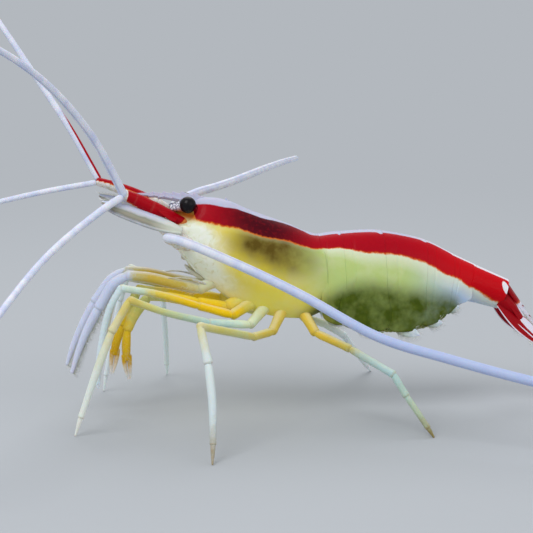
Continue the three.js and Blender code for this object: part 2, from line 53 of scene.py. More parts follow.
SHIFT = (np.array(eye_low) + np.array(eye_high)) / 2 * MM - EYE  # from body millimetres to the frame's


def to_row(points):
    """Body millimetres to metres in the frame."""
    return (np.asarray(points, float) + SHIFT) / MM


def colour(code):
    """A linear colour from an sRGB hex code."""
    parts = [int(code[i : i + 2], 16) / 255 for i in (0, 2, 4)]
    return [p / 12.92 if p <= 0.04045 else ((p + 0.055) / 1.055) ** 2.4 for p in parts] + [1.0]


def node(tree, kind, inputs=(), **settings):
    """Adds a shader node. Inputs go in order or by name: each is a plain value, a socket or a node."""
    made = tree.nodes.new("ShaderNode" + kind)
    for key, value in settings.items():
        setattr(made, key, value)
    sockets = [s for s in made.inputs if s.enabled]
    for key, value in inputs.items() if isinstance(inputs, dict) else enumerate(inputs):
        socket = sockets[key] if isinstance(key, int) else next(s for s in sockets if s.name == key)
        if isinstance(value, bpy.types.Node):
            value = next(s for s in value.outputs if s.enabled)
        if isinstance(value, bpy.types.NodeSocket):
            tree.links.new(value, socket)
        else:
            socket.default_value = value
    return made


def empty_material(name):
    """A material with no nodes yet, and its tree."""
    material = bpy.data.materials.new(name)
    material.use_nodes = True
    material.node_tree.nodes.clear()
    return material, material.node_tree


PAPER = colour("b3b8be")
FLOOR_HALF = 4.0  # metres
PAPER_GRAIN = 0.9  # mm between fibres
PAPER_TOOTH = 0.00002  # metres, height of the fibres
FADE_FROM, FADE_TO = 0.05, 0.24  # metres from the middle over which the paper turns into an even backdrop
SOFT_AIR = 0.60  # light from all round

world = bpy.data.worlds.new("studio_air")
world.use_nodes = True
air = world.node_tree
air.nodes.clear()
ray = node(air, "LightPath")
air_light = node(air, "Background", {"Color": colour("ffffff"), "Strength": SOFT_AIR})
air_seen = node(air, "Background", {"Color": PAPER, "Strength": 1.0})
node(air, "OutputWorld", [node(air, "MixShader", [ray.outputs["Is Camera Ray"], air_light, air_seen])])
bpy.context.scene.world = world
bpy.context.scene.view_settings.view_transform = "Standard"

# Pale matt paper: it shows a soft shadow, no shine and a faint tooth, and far off it is one even tone.
paper, tree = empty_material("studio_paper_matt")
grain = node(tree, "TexNoise", {"Scale": MM / PAPER_GRAIN, "Detail": 2.0})
tooth = node(tree, "Bump", {"Strength": 0.1, "Distance": PAPER_TOOTH, "Height": grain})
matt = node(tree, "BsdfDiffuse", {"Color": PAPER, "Normal": tooth})
place = node(tree, "TexCoord").outputs["Object"]
reach = node(tree, "VectorMath", [place], operation="LENGTH").outputs["Value"]
far = node(tree, "MapRange", {"Value": reach, "From Min": FADE_FROM, "From Max": FADE_TO},
    interpolation_type="SMOOTHSTEP")
far = node(tree, "Math", [far, node(tree, "LightPath").outputs["Is Camera Ray"]], operation="MULTIPLY")
even = node(tree, "Emission", {"Color": PAPER, "Strength": 1.0})
node(tree, "OutputMaterial", [node(tree, "MixShader", [far, matt, even])])
floor_mesh = bpy.data.meshes.new("floor")
corners = [(x * FLOOR_HALF, y * FLOOR_HALF, 0) for x, y in ((-1, -1), (1, -1), (1, 1), (-1, 1))]
floor_mesh.from_pydata(corners, [], [(0, 1, 2, 3)])
floor_mesh.materials.append(paper)
floor = bpy.data.objects.new("floor", floor_mesh)
bpy.context.scene.collection.objects.link(floor)

AIM = np.array([-4.0, 0.0, 17.8])  # what the camera and lamps face, near the middle of the body
VIEW_AZIMUTH, VIEW_ELEVATION = -8, 10
VIEW_DISTANCE, VIEW_WIDTH = 202.0, 63.96  # mm, and the width seen at that distance
SENSOR = 36.0
CLIP_NEAR, CLIP_FAR = 0.01, 20.0  # metres


def look_from(thing, azimuth, elevation, distance):
    """Places a camera or lamp at a distance in mm from AIM, facing it."""
    a, e = math.radians(azimuth), math.radians(elevation)
    away = np.array([math.sin(a) * math.cos(e), -math.cos(a) * math.cos(e), math.sin(e)])
    thing.location = to_row(AIM + away * distance)
    thing.rotation_mode = "QUATERNION"
    thing.rotation_quaternion = Vector(-away).to_track_quat("-Z", "Y")
    bpy.context.scene.collection.objects.link(thing)


camera = bpy.data.objects.new("camera", bpy.data.cameras.new("camera"))
camera.data.sensor_width = SENSOR
camera.data.lens = SENSOR * VIEW_DISTANCE / VIEW_WIDTH
camera.data.clip_start = CLIP_NEAR
camera.data.clip_end = CLIP_FAR
look_from(camera, VIEW_AZIMUTH, VIEW_ELEVATION, VIEW_DISTANCE)
bpy.context.scene.camera = camera

# Lamps: name, azimuth and elevation in degrees, distance in mm, width in metres, watts.
LAMPS = [
    ("key", -40, 52, 520, 0.34, 1.2),
    ("fill", 45, 25, 560, 0.5, 0.4),
    ("back", 170, 50, 520, 0.4, 0.7),
]
for lamp_name, azimuth, elevation, distance, width, watts in LAMPS:
    lamp = bpy.data.objects.new("lamp_" + lamp_name, bpy.data.lights.new("lamp_" + lamp_name, "AREA"))
    lamp.data.shape = "DISK"
    lamp.data.size = width
    lamp.data.energy = watts
    look_from(lamp, azimuth, elevation, distance)

# ---- head and chest shield ----
# The carapace is one saddle of clear chitin hardened with lime. It is grown over the head and chest, hung
# from the back and open below. It carries a saw-toothed beak, and pigment cells under it give the white line
# and red band.


def curve(rows):
    """A smooth function of place through rows of (place, value, value, ...), held level past its ends."""
    rows = np.array(rows, float)
    places, values = rows[:, 0], rows[:, 1:]
    slopes = np.gradient(values, places, axis=0)

    def at(place):
        place = np.clip(np.asarray(place, float), places[0], places[-1])
        i = np.clip(np.searchsorted(places, place) - 1, 0, len(places) - 2)
        step = (places[i + 1] - places[i])[..., None]
        t = (place - places[i])[..., None] / step
        turn = slopes[i] * step * t * (1 - t) ** 2 - slopes[i + 1] * step * t * t * (1 - t)
        made = values[i] + (values[i + 1] - values[i]) * t * t * (3 - 2 * t) + turn
        return made if values.shape[1] > 1 else made[..., 0]

    return at


def ease(low, high, value):
    """0 at low, 1 at high, smooth between."""
    t = np.clip((np.asarray(value, float) - low) / (high - low), 0, 1)
    return t * t * (3 - 2 * t)


def bell(distance, width):
    """1 where distance is 0, fading out at about width."""
    return np.exp(-((np.asarray(distance, float) / width) ** 2))


# Along x, in mm: the height of the back line, how deep below it the white line and the red band reach, and
# the height of the top of the eggs as they show through the side plates.
back_line = curve([
    (-19.5, 26.95), (-16.8, 27.0), (-13.4, 26.85), (-11.6, 26.47), (-10.6, 26.3), (-9.0, 25.93), (-8.1, 25.7),
    (-6.5, 24.97), (-4.8, 24.2), (-3.1, 23.7), (-1.4, 23.1), (0.3, 22.3), (1.2, 21.85), (2.15, 21.65),
    (4.6, 21.85), (9.6, 21.9), (15.1, 20.7), (18.7, 18.9), (21.5, 17.5), (25.7, 15.5), (27.0, 14.4),
])
white_depth = curve([
    (-19.5, 2.0), (-13.0, 1.15), (-11.5, 0.8), (-9.0, 0.7), (-7.3, 0.52), (-5.6, 0.36), (-3.9, 0.3),
    (-2.2, 0.25), (-0.6, 0.22), (2.2, 0.12), (9.6, 0.1), (15.3, 0.07), (24.0, 0.12), (25.6, 0.2),
])
red_depth = curve([
    (-15.0, 2.8), (-12.3, 2.75), (-10.7, 2.8), (-9.0, 2.75), (-7.3, 2.6), (-5.6, 2.4), (-3.9, 2.22),
    (-2.3, 2.08), (-0.6, 1.92), (1.1, 1.6), (2.3, 1.4), (3.6, 1.45), (6.7, 2.08), (9.8, 2.4), (12.0, 2.3),
    (14.0, 2.45), (14.8, 2.6), (18.5, 2.6), (20.2, 2.75), (21.8, 3.05), (23.2, 3.25), (24.4, 3.4),
    (25.7, 4.2),
])
egg_top = curve([
    (-1.0, 12.2), (0.8, 13.3), (2.4, 14.5), (4.2, 15.3), (5.8, 15.9), (8.0, 16.0), (11.6, 15.3), (15.4, 14.7),
    (18.6, 13.8), (19.8, 12.8),
])


def oval(points, x, z, long, high, tilt):
    """How deep each point lies in a soft oval of the flank, tilted by degrees: 1 in its middle, 0 outside."""
    dx, dz = points[:, 0] - x, points[:, 2] - z
    turn = math.radians(tilt)
    along = (dx * math.cos(turn) + dz * math.sin(turn)) / long
    above = (dz * math.cos(turn) - dx * math.sin(turn)) / high
    return np.exp(-((along**2 + above**2) ** 1.5))


def body_marks(points):
    """What the shell's colours depend on: one number for each point in each named layer."""
    x, z = points[:, 0], points[:, 2]
    drop = back_line(x) - z
    gut = oval(points, -3.1, 20.2, 4.9, 2.4, -20) + 0.3 * oval(points, -7.4, 21.2, 2.0, 1.7, -20)
    throat = oval(points, -13.0, 20.1, 3.3, 3.2, -40) + 0.75 * oval(points, -10.6, 17.0, 3.8, 1.7, -42)
    throat = throat + 0.85 * oval(points, -12.7, 22.5, 2.0, 1.1, -22)
    clutch = ease(-1.5, 1.4, egg_top(x) - z) * ease(-2.4, 1.6, x) * ease(20.6, 18.4, x)
    return {
        "white": drop / white_depth(x),
        "red": drop / red_depth(x) + 0.9 * ease(-12.6, -13.3, x),
        "gut": np.clip(gut, 0, 1),
        "clutch": clutch,
        "throat": np.clip(throat, 0, 1),
        "rear": ease(-4.5, 4.0, x + 0.6 * (z - 17.0)),
        "tail": ease(11.0, 21.5, x),
        "dark": oval(points, -4.6, 23.4, 5.2, 3.0, -22),
        "spot": oval(points, 25.25, 14.65, 0.42, 0.95, 22),
        "blush": oval(points, -13.3, 24.35, 1.8, 0.42, -6),
        # painted light: the chest's underside is painted paler, standing in for light from below
        "belly": ease(17.5, 13.0, z + 0.25 * np.abs(x + 5.0)),
        "chest": ease(3.2, 1.8, x),
    }


# Chitin has an index of 1.56. Seen under water it hardly shines, so the colours are deep and gloss is low.
WET_CHITIN = {
    "Roughness": 0.4,
    "IOR": 1.56,
    "Specular IOR Level": 0.06,
    "Coat Weight": 0.05,
    "Coat Roughness": 0.12,
    "Subsurface Weight": 0.1,
    "Subsurface Scale": 0.0005,
}
PIGMENT_CELL = 0.42  # mm, drawn coarser than life so that it shows
CLOUD = 2.2  # mm, drifts of pale tissue under the shell
WISP = 1.0  # mm, white and tan streaks in the cheek
PORE = 0.15  # mm, drawn coarser than life so that it shows
PORE_DEPTH = 0.00001  # metres
EGG_SEEN = 0.62  # mm, eggs showing through the side plates

# Clear lime-hardened chitin, wet: a smooth top layer over pigment that is set in slightly milky flesh.
cuticle, tree = empty_material("chitin_cuticle_wet_pigmented")
place = node(tree, "TexCoord").outputs["Object"]
cells = node(tree, "TexNoise", {"Vector": place, "Scale": MM / PIGMENT_CELL, "Detail": 2.0, "Roughness": 0.6})
clouds = node(tree, "TexNoise", {"Vector": place, "Scale": MM / CLOUD, "Detail": 3.0, "Roughness": 0.55})
BODY_MARKS = [
    "white", "red", "gut", "clutch", "throat", "rear", "tail", "dark", "spot", "blush", "chest", "belly",
]
mark = {}
for layer in BODY_MARKS:
    mark[layer] = node(tree, "Attribute", attribute_name=layer).outputs["Fac"]
flank = node(tree, "Mix", [mark["rear"], colour("e6d34e"), colour("bccf80")], data_type="RGBA")
flank = node(tree, "Mix", [mark["tail"], flank, colour("b4caee")], data_type="RGBA")
flank = node(tree, "Mix", [mark["throat"], flank, colour("f2f6e6")], data_type="RGBA")
wisps = node(tree, "TexNoise", {"Vector": place, "Scale": MM / WISP, "Detail": 4.0, "Distortion": 1.2})
white_wisps = node(tree, "MapRange", {"Value": wisps, "From Min": 0.5, "From Max": 0.64, "To Max": 0.6})
tan_wisps = node(tree, "MapRange", {"Value": wisps, "From Min": 0.44, "From Max": 0.32, "To Max": 0.45})
white_wisps = node(tree, "Math", [white_wisps, mark["throat"]], operation="MULTIPLY")
tan_wisps = node(tree, "Math", [tan_wisps, mark["throat"]], operation="MULTIPLY")
flank = node(tree, "Mix", [white_wisps, flank, colour("fbfcf6")], data_type="RGBA")
flank = node(tree, "Mix", [tan_wisps, flank, colour("cdbf7c")], data_type="RGBA")
# Painted light: the lower chest is painted a brighter pale yellow that lifts the shade on its underside.
painted_underside_light_share = node(tree, "Math", [mark["belly"], mark["chest"]], operation="MULTIPLY")
flank = node(tree, "Mix", [painted_underside_light_share, flank, colour("f8ea6c")], data_type="RGBA")
milky = node(tree, "MapRange", {"Value": clouds, "From Min": 0.42, "From Max": 0.75, "To Max": 0.22})
flank = node(tree, "Mix", [milky, flank, colour("f0eddb")], data_type="RGBA")
drift = node(tree, "MapRange", {"Value": clouds, "From Min": 0.3, "From Max": 0.7, "To Min": 0.72,
    "To Max": 1.1})
gut = node(tree, "Math", [mark["gut"], drift], operation="MULTIPLY", use_clamp=True)
flank = node(tree, "Mix", [gut, flank, colour("5e4c14")], data_type="RGBA")
egg_cells = node(tree, "TexVoronoi", {"Vector": place, "Scale": MM / EGG_SEEN, "Smoothness": 0.5},
    feature="SMOOTH_F1")
egg_tone = node(tree, "MapRange", {"Value": egg_cells, "From Min": 0.1, "From Max": 0.75})
egg_colour = node(tree, "Mix", [egg_tone, colour("56651a"), colour("44540f")], data_type="RGBA")
clutch = node(tree, "Math", [mark["clutch"], drift], operation="MULTIPLY", use_clamp=True)
flank = node(tree, "Mix", [clutch, flank, egg_colour], data_type="RGBA")
wander = node(tree, "MapRange", {"Value": cells, "From Min": 0.25, "From Max": 0.75, "To Min": -0.035,
    "To Max": 0.035})
stray = node(tree, "MapRange", {"Value": clouds, "From Min": 0.3, "From Max": 0.7, "To Min": -0.04,
    "To Max": 0.04})
edge = node(tree, "Math", [mark["red"], wander], operation="ADD")
edge = node(tree, "Math", [edge, stray], operation="ADD")
red = node(tree, "Mix", [mark["tail"], colour("a80018"), colour("c60010")], data_type="RGBA")
dark = node(tree, "Math", [mark["dark"], 0.9], operation="MULTIPLY")
red = node(tree, "Mix", [dark, red, colour("2e0010")], data_type="RGBA")
fleck = node(tree, "MapRange", {"Value": cells, "From Min": 0.5, "From Max": 0.8, "To Max": 0.22})
red = node(tree, "Mix", [fleck, red, colour("c00c1c")], data_type="RGBA")
rim_reach = node(tree, "MapRange", {"Value": mark["chest"], "To Min": 1.75, "To Max": 1.25})
rim_reach = node(tree, "Math", [edge, rim_reach], operation="DIVIDE")
pale_rim = node(tree, "MapRange", {"Value": rim_reach, "From Min": 1.0, "From Max": 0.6, "To Max": 0.85})
rim_strength = node(tree, "MapRange", {"Value": mark["chest"], "To Min": 1.0, "To Max": 0.35})
pale_rim = node(tree, "Math", [pale_rim, rim_strength], operation="MULTIPLY")
flank = node(tree, "Mix", [pale_rim, flank, colour("e4e6cf")], data_type="RGBA")
orange_rim = node(tree, "MapRange", {"Value": edge, "From Min": 1.07, "From Max": 0.99})
flank = node(tree, "Mix", [orange_rim, flank, colour("dc6a10")], data_type="RGBA")
flank = node(tree, "Mix", [mark["blush"], flank, colour("e07a2a")], data_type="RGBA")
in_red = node(tree, "MapRange", {"Value": edge, "From Min": 1.01, "From Max": 0.94})
base = node(tree, "Mix", [in_red, flank, red], data_type="RGBA")
ridge_edge = node(tree, "Math", [mark["white"], wander], operation="ADD")
in_white = node(tree, "MapRange", {"Value": ridge_edge, "From Min": 1.05, "From Max": 0.9})
ridge = node(tree, "Mix", [mark["tail"], colour("b8bad2"), colour("e8e4f0")], data_type="RGBA")
base = node(tree, "Mix", [in_white, base, ridge], data_type="RGBA")
in_spot = node(tree, "MapRange", {"Value": mark["spot"], "From Min": 0.42, "From Max": 0.55})
base = node(tree, "Mix", [in_spot, base, colour("eceaf0")], data_type="RGBA")
pores = node(tree, "TexNoise", {"Vector": place, "Scale": MM / PORE, "Detail": 2.0})
relief = node(tree, "Bump", {"Strength": 0.35, "Distance": PORE_DEPTH, "Height": pores})
face = node(tree, "BsdfPrincipled", {**WET_CHITIN, "Base Color": base, "Normal": relief})
node(tree, "OutputMaterial", [face])


def net(rows, columns, start=0, closed=False):
    """Quads of a net of rows by columns; closed joins its last column to its first."""
    r, c = np.meshgrid(np.arange(rows - 1), np.arange(columns if closed else columns - 1), indexing="ij")
    a = start + r * columns + c
    b = start + r * columns + (c + 1) % columns
    return np.stack([a, b, b + columns, a + columns], -1).reshape(-1, 4).tolist()


def thin_shell(outside, inside):
    """A closed shell between two nets of points, (rows, columns, 3)."""
    rows, columns = outside.shape[:2]
    count = rows * columns
    faces = net(rows, columns) + [f[::-1] for f in net(rows, columns, count)]
    rim = [(0, c) for c in range(columns)] + [(r, columns - 1) for r in range(1, rows)]
    rim += [(rows - 1, c) for c in range(columns - 2, -1, -1)] + [(r, 0) for r in range(rows - 2, 0, -1)]
    rim = [r * columns + c for r, c in rim]
    faces += [[b, a, a + count, b + count] for a, b in zip(rim, rim[1:] + rim[:1])]
    return np.concatenate([outside.reshape(-1, 3), inside.reshape(-1, 3)]), faces


def loft(rings):
    """A closed body through rings of points, (rows, columns, 3), with flat ends."""
    rows, columns = rings.shape[:2]
    ends = [list(range(columns))[::-1], [(rows - 1) * columns + i for i in range(columns)]]
    return rings.reshape(-1, 3), net(rows, columns, closed=True) + ends


def facing_out(points, faces):
    """The same closed part with its faces turned outwards."""
    fans = [(f[0], f[i], f[i + 1]) for f in faces for i in range(1, len(f) - 1)]
    a, b, c = (points[list(corner)] for corner in zip(*fans))
    inside_out = np.einsum("ij,ij->", a, np.cross(b, c)) < 0
    return points, [f[::-1] for f in faces] if inside_out else faces


def piece(name, parts, material, nodes, marks=None):
    """One object that stands for CAD nodes, of closed parts: each (points in body millimetres, faces,
    layers). marks, where given, makes the layers of every part from its points."""
    points, faces, layers, count = [], [], {}, 0
    for part in parts:
        part_points, part_faces = facing_out(np.asarray(part[0], float), part[1])
        part_layers = marks(part_points) if marks else (part[2] if len(part) > 2 else {})
        for key, values in part_layers.items():
            layers.setdefault(key, []).append((count, np.broadcast_to(values, len(part_points))))
        points.append(part_points)
        faces += [[i + count for i in f] for f in part_faces]
        count += len(part_points)
    mesh = bpy.data.meshes.new(name)
    mesh.from_pydata(to_row(np.concatenate(points)).tolist(), [], faces)
    mesh.shade_smooth()
    for key, spans in layers.items():
        layer_values = np.zeros(count, np.float32)
        for start, values in spans:
            layer_values[start : start + len(values)] = values
        mesh.attributes.new(key, "FLOAT", "POINT").data.foreach_set("value", layer_values)
    mesh.materials.append(material)
    thing = bpy.data.objects.new(name, mesh)
    bpy.context.scene.collection.objects.link(thing)
    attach(thing, "root")
    if nodes:
        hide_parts(*nodes)
    return thing


# Sections of the chest: x, top, bottom, half width. The widest place is at CHEST_MIDDLE of the height.
CHEST = [
    (-16.0, 24.9, 22.7, 0.7), (-15.0, 25.1, 20.4, 1.5), (-14.0, 25.4, 18.8, 2.0), (-12.6, 26.1, 17.2, 2.6),
    (-10.6, 26.3, 15.4, 3.1), (-8.4, 25.8, 13.6, 3.5), (-6.0, 24.7, 12.3, 3.8), (-3.6, 23.8, 11.6, 4.0),
    (-1.2, 22.9, 11.3, 4.05), (0.8, 22.0, 11.4, 4.0), (2.1, 21.7, 11.9, 3.9), (3.1, 21.7, 12.3, 3.85),
]
CHEST_MIDDLE = 0.45
chest_at = curve(CHEST)


def chest_points(x, angle, grow):
    """Points of the chest's skin at x, turned by angle from the back line, and moved out by grow."""
    x, angle, grow = np.broadcast_arrays(np.asarray(x, float), angle, grow)
    top, bottom, half = np.moveaxis(chest_at(x), -1, 0)
    middle = bottom + (top - bottom) * CHEST_MIDDLE
    sine, cosine = np.sin(angle), np.cos(angle)
    upper = cosine >= 0
    out = np.sign(sine) * np.abs(sine) ** np.where(upper, 1.1, 0.85)
    rise = np.sign(cosine) * np.abs(cosine) ** np.where(upper, 1.0, 0.9)
    height = np.where(upper, top - middle, middle - bottom) + grow
    return np.stack([x, out * (half + grow), middle + rise * height], axis=-1)


SHIELD_SIDE = math.radians(152)  # where the free lower edge is, from the back line
SHIELD_THICK = 0.16
SHIELD_ROWS, SHIELD_COLUMNS = 110, 121
REAR_EDGE, REAR_BULGE = 2.35, 0.5  # x of the rear edge, and how much further back it reaches at the sides
REAR_TUCK = 0.07  # how far the rear edge is turned in
CHEST_INSET = 0.3  # how far the chest lies inside the shield
# Front edge of one side: degrees from the back line against x. It is notched round the eye, runs out to a
# spine beside the antenna, and slopes back below.
front_edge = curve([
    (0, -15.4), (9, -15.2), (17, -13.6), (26, -12.6), (40, -12.5), (54, -13.2), (66, -14.4), (73, -15.5),
    (79, -14.9), (86, -14.7), (100, -14.9), (118, -14.8), (135, -14.1), (152, -12.6),
])


def shield_relief(x, angle, share):
    """Height of the shield's relief: rolled front edge, neck groove, gill line and root of the side spine."""
    degrees = np.degrees(np.abs(angle))
    z = chest_points(x, angle, 0)[..., 2]
    rim = 0.10 * bell(share, 0.012) - 0.05 * bell(share - 0.036, 0.02)
    neck = -0.07 * bell(x + 7.4 + 0.055 * np.maximum(degrees - 8, 0), 0.5) * ease(4, 20, degrees)
    neck = neck * ease(112, 70, degrees)
    gill = -0.05 * bell(z - (18.6 + 0.10 * (x + 9)), 0.4) * ease(-11.5, -9.0, x) * ease(2.0, -1.5, x)
    spine_root = 0.16 * bell(z - 22.9, 0.42) * ease(-11.6, -14.2, x)
    return rim + neck + gill + spine_root


shield_along = np.linspace(0, 1, SHIELD_ROWS) ** 1.15
shield_turn = np.linspace(-SHIELD_SIDE, SHIELD_SIDE, SHIELD_COLUMNS)
along, angle = np.meshgrid(shield_along, shield_turn, indexing="ij")
edge_x = front_edge(np.degrees(np.abs(angle)))
shield_x = edge_x + (REAR_EDGE + REAR_BULGE * np.sin(np.abs(angle)) ** 2 - edge_x) * along
swell = shield_relief(shield_x, angle, along) - REAR_TUCK * ease(0.93, 1.0, along)
shield_skin = chest_points(shield_x, angle, swell)
shield = thin_shell(shield_skin, chest_points(shield_x, angle, swell - SHIELD_THICK))

# The beak from its tip: x, top, bottom, half width. Teeth are (x of the tip, height), and lean ahead.
beak_at = curve([
    (-19.5, 26.95, 26.82, 0.05), (-18.6, 26.98, 26.62, 0.12), (-16.8, 26.95, 26.3, 0.22),
    (-15.0, 26.86, 25.9, 0.32), (-13.4, 26.78, 25.4, 0.48), (-11.6, 26.42, 25.2, 0.46),
    (-9.0, 25.9, 25.0, 0.4), (-6.5, 24.95, 24.2, 0.34), (-3.5, 23.7, 23.2, 0.26),
])
TEETH_ABOVE = [(-17.6, 0.16), (-16.3, 0.22), (-15.2, 0.26), (-14.2, 0.3), (-12.7, 0.26), (-8.9, 0.42)]
TEETH_BELOW = [(-18.0, 0.12), (-16.9, 0.16)]
TOOTH_ABOVE_LONG, TOOTH_BELOW_LONG = 0.9, 0.8
BEAK_TIP, BEAK_ROOT, BEAK_STEPS = -19.5, -3.5, 320
BEAK_RIB = 0.4  # height of the rib along its side, as a share of the blade


def saw(x, teeth, length):
    """Height of teeth that lean ahead: each rises slowly to its tip and drops steeply before it."""
    height = np.zeros_like(x)
    for tip, tall in teeth:
        behind = (x - tip) / length
        shape = np.where(behind >= 0, np.clip(1 - behind, 0, 1) ** 1.7, np.clip(1 + behind * 8, 0, 1))
        height = np.maximum(height, tall * shape)
    return height


beak_x = np.linspace(BEAK_TIP, BEAK_ROOT, BEAK_STEPS)
top, bottom, half = beak_at(beak_x).T
top = top + saw(beak_x, TEETH_ABOVE, TOOTH_ABOVE_LONG)
bottom = bottom - saw(beak_x, TEETH_BELOW, TOOTH_BELOW_LONG)
rib = bottom + (top - bottom) * BEAK_RIB
# Outline of half the blade: width, share up from the rib, share down from it.
outline = [
    (0, 1.0, 0), (0.16, 0.88, 0), (0.34, 0.4, 0), (0.9, 0.07, 0),
    (1.0, 0, 0), (0.8, 0, 0.25), (0.3, 0, 0.8), (0, 0, 1),
]
outline += [(-wide, up, down) for wide, up, down in outline[-2:0:-1]]
beak_lines = []
for wide, up, down in outline:
    beak_lines.append(np.stack([beak_x, half * wide, rib + (top - rib) * up + (bottom - rib) * down], -1))
beak = loft(np.stack(beak_lines, 1))

# The chest under the shield, where the limbs are rooted.
chest_along = np.linspace(-15.9, 2.6, 60)
chest_turn = np.linspace(0, 2 * math.pi, 64, endpoint=False)
chest_x, chest_angle = np.meshgrid(chest_along, chest_turn, indexing="ij")
chest = loft(chest_points(chest_x, chest_angle, -CHEST_INSET))

piece("carapace_shield", [shield, beak, chest], cuticle, ["carapace"], body_marks)

# ---- rings of the tail ----
# Six arches of the same chitin, each sliding under the one in front. Their side plates hang as rounded flaps
# over the eggs, and the second side plate laps over its neighbours. The sixth ring is a closed tube.

# Edges between rings: x and z at the back, x and z at the lower end, half width.
RING_EDGES = [
    (2.15, 21.6, 2.0, 11.9, 3.75), (4.6, 21.85, 5.0, 10.8, 3.85), (9.6, 21.9, 9.8, 10.1, 3.8),
    (15.1, 20.7, 14.1, 10.2, 3.5), (18.7, 18.9, 17.3, 11.3, 3.0), (21.5, 17.5, 19.8, 13.0, 2.4),
    (25.85, 15.45, 24.5, 12.0, 1.7),
]
ring_at = curve([(i, *row) for i, row in enumerate(RING_EDGES)])
WAIST = 0.42  # height of the widest place, as a share of a ring
HANG = math.radians(60)  # how far past the waist the lower edge of a side plate is
RING_THICK = 0.08
RING_ROWS, RING_COLUMNS = 56, 131
# As shares of a ring: where its front edge starts, how far its rear edge laps over the next, and for rings 1
# to 5 how high the lower edge is held, how far the side plate laps ahead and behind, and how far its front
# stands out.
RING_START, RING_LAP = 0.02, 0.07
HEM_RISE = [0.0, -0.005, -0.005, 0.01, 0.02]
FLAP_AHEAD = [0.0, 0.22, 0.0, 0.0, 0.0]
FLAP_BEHIND = [-0.05, 0.10, 0.08, 0.07, 0.10]
FLAP_LIFT = [0.0, 0.09, 0.0, 0.0, 0.0]  # mm
FLAP_TUCK = 0.12  # mm, how far the first side plate dips under the second
RING_LIFT, RING_FLARE = 0.03, 0.025  # mm, how far a ring stands out, and how much more at its rear edge
STRIPE = [13, 13, 12, 12, 15, 22]  # half width of the white line down the back of rings 1 to 6, in degrees
SCALLOP = 0.03  # how much deeper the red hangs in a ring's middle, as a share of its depth


def ring_points(place, angle, grow):
    """Points of the rings' skin: place counts ring edges, and angle turns from the back line to 90 degrees at
    the waist and 150 at the lower edge of a side plate."""
    place, angle, grow = np.broadcast_arrays(np.asarray(place, float), angle, grow)
    back_x, back_z, low_x, low_z, half = np.moveaxis(ring_at(place), -1, 0)
    turn = np.abs(angle)
    hang = np.clip((turn - math.pi / 2) / HANG, 0, None)
    out = np.where(turn < math.pi / 2, np.sin(turn), 1 - 0.08 * hang**2)
    rise = np.where(turn < math.pi / 2, WAIST + (1 - WAIST) * np.cos(turn), WAIST * (1 - hang))
    tall = np.hypot(back_x - low_x, back_z - low_z)
    lift = grow * np.clip(np.cos(turn), 0, 1) / tall
    out = out * half + grow * np.clip(np.sin(turn), 0.3, 1)
    x = low_x + (back_x - low_x) * (rise + lift)
    z = low_z + (back_z - low_z) * (rise + lift)
    return np.stack([x, np.sign(angle) * out, z], axis=-1)


def ring_plate(number):
    """The arch of one ring with its two side plates, and each point's degrees from the back line."""
    share, side = np.meshgrid(np.linspace(0, 1, RING_ROWS), np.linspace(-1, 1, RING_COLUMNS), indexing="ij")
    corner = np.abs(2 * share - 1)
    hem = HEM_RISE[number - 1] + 0.03 * corner**2.5 + 0.12 * corner**9
    angle = side * (math.pi / 2 + HANG * (1 - hem / WAIST))
    low = ease(80, 125, np.degrees(np.abs(angle)))
    front = number - 1 + RING_START - FLAP_AHEAD[number - 1] * low
    back = number + RING_LAP + FLAP_BEHIND[number - 1] * low
    lift = RING_LIFT + RING_FLARE * share
    lift += low * (FLAP_LIFT[number - 1] * (1 - share) - (FLAP_TUCK * share if number == 1 else 0))
    fold = -0.05 * bell(share - 0.30, 0.035) * ease(12, 40, np.degrees(np.abs(angle))) * (1 - low)
    place = front + (back - front) * share
    outside = ring_points(place, angle, lift + fold)
    points, faces = thin_shell(outside, ring_points(place, angle, lift + fold - RING_THICK))
    return points, faces, np.tile(np.abs(np.degrees(angle)).ravel(), 2)


def ring_marks(number, points, degrees):
    """Marks of one ring: the red hangs lowest in its middle and draws up at its rear edge."""
    front, back = RING_EDGES[number - 1][0], RING_EDGES[number][0]
    layers = body_marks(points)
    share = np.clip((points[:, 0] - front) / (back - front), -0.1, 1.1)
    layers["red"] = layers["red"] + SCALLOP * np.cos(2 * math.pi * (share - 0.08))
    layers["white"] = degrees / STRIPE[number - 1] - 0.35 * bell(share - 1.02, 0.07)
    return layers


for number in range(1, 6):
    points, faces, degrees = ring_plate(number)
    plate = (points, faces, ring_marks(number, points, degrees))
    piece(f"tail_ring_{number}", [plate], cuticle, [f"abdomen_{number}"])

# The muscle under the arches: an arch of its own, closed below by a nearly flat underside.
core_turn = np.radians(np.linspace(-96, 96, 41))
core_widths = np.array([0.85, 0.6, 0.3, 0, -0.3, -0.6, -0.85])[:, None]
core_rings = []
for place_now in np.linspace(0.06, 5.9, 90):
    arch = ring_points(place_now, core_turn, -0.2)
    waist = ring_points(place_now, math.pi / 2, -0.3)
    underside = np.array([0, 1, 0]) * core_widths * waist[1] + waist * np.array([1, 0, 1]) - [0, 0, 0.25]
    core_rings.append(np.concatenate([arch, underside]))
core = loft(np.array(core_rings))
core = (*core, body_marks(core[0]))

# The sixth ring, a tube with a spine at each rear corner. Its edges are counted like those of the others.
SIXTH_FRONT, SIXTH_BACK, SIXTH_SPINE = 4.98, 6.04, 0.16
share, turn = np.meshgrid(np.linspace(0, 1, 60), np.linspace(-math.pi, math.pi, 97), indexing="ij")
spine = bell(np.degrees(np.abs(turn)) - 112, 13)
place_six = SIXTH_FRONT + (SIXTH_BACK + SIXTH_SPINE * spine - SIXTH_FRONT) * share
back_x, back_z, low_x, low_z, half = np.moveaxis(ring_at(place_six), -1, 0)
swell = 0.03 + 0.03 * share + 0.02 * bell(share - 0.985, 0.02)


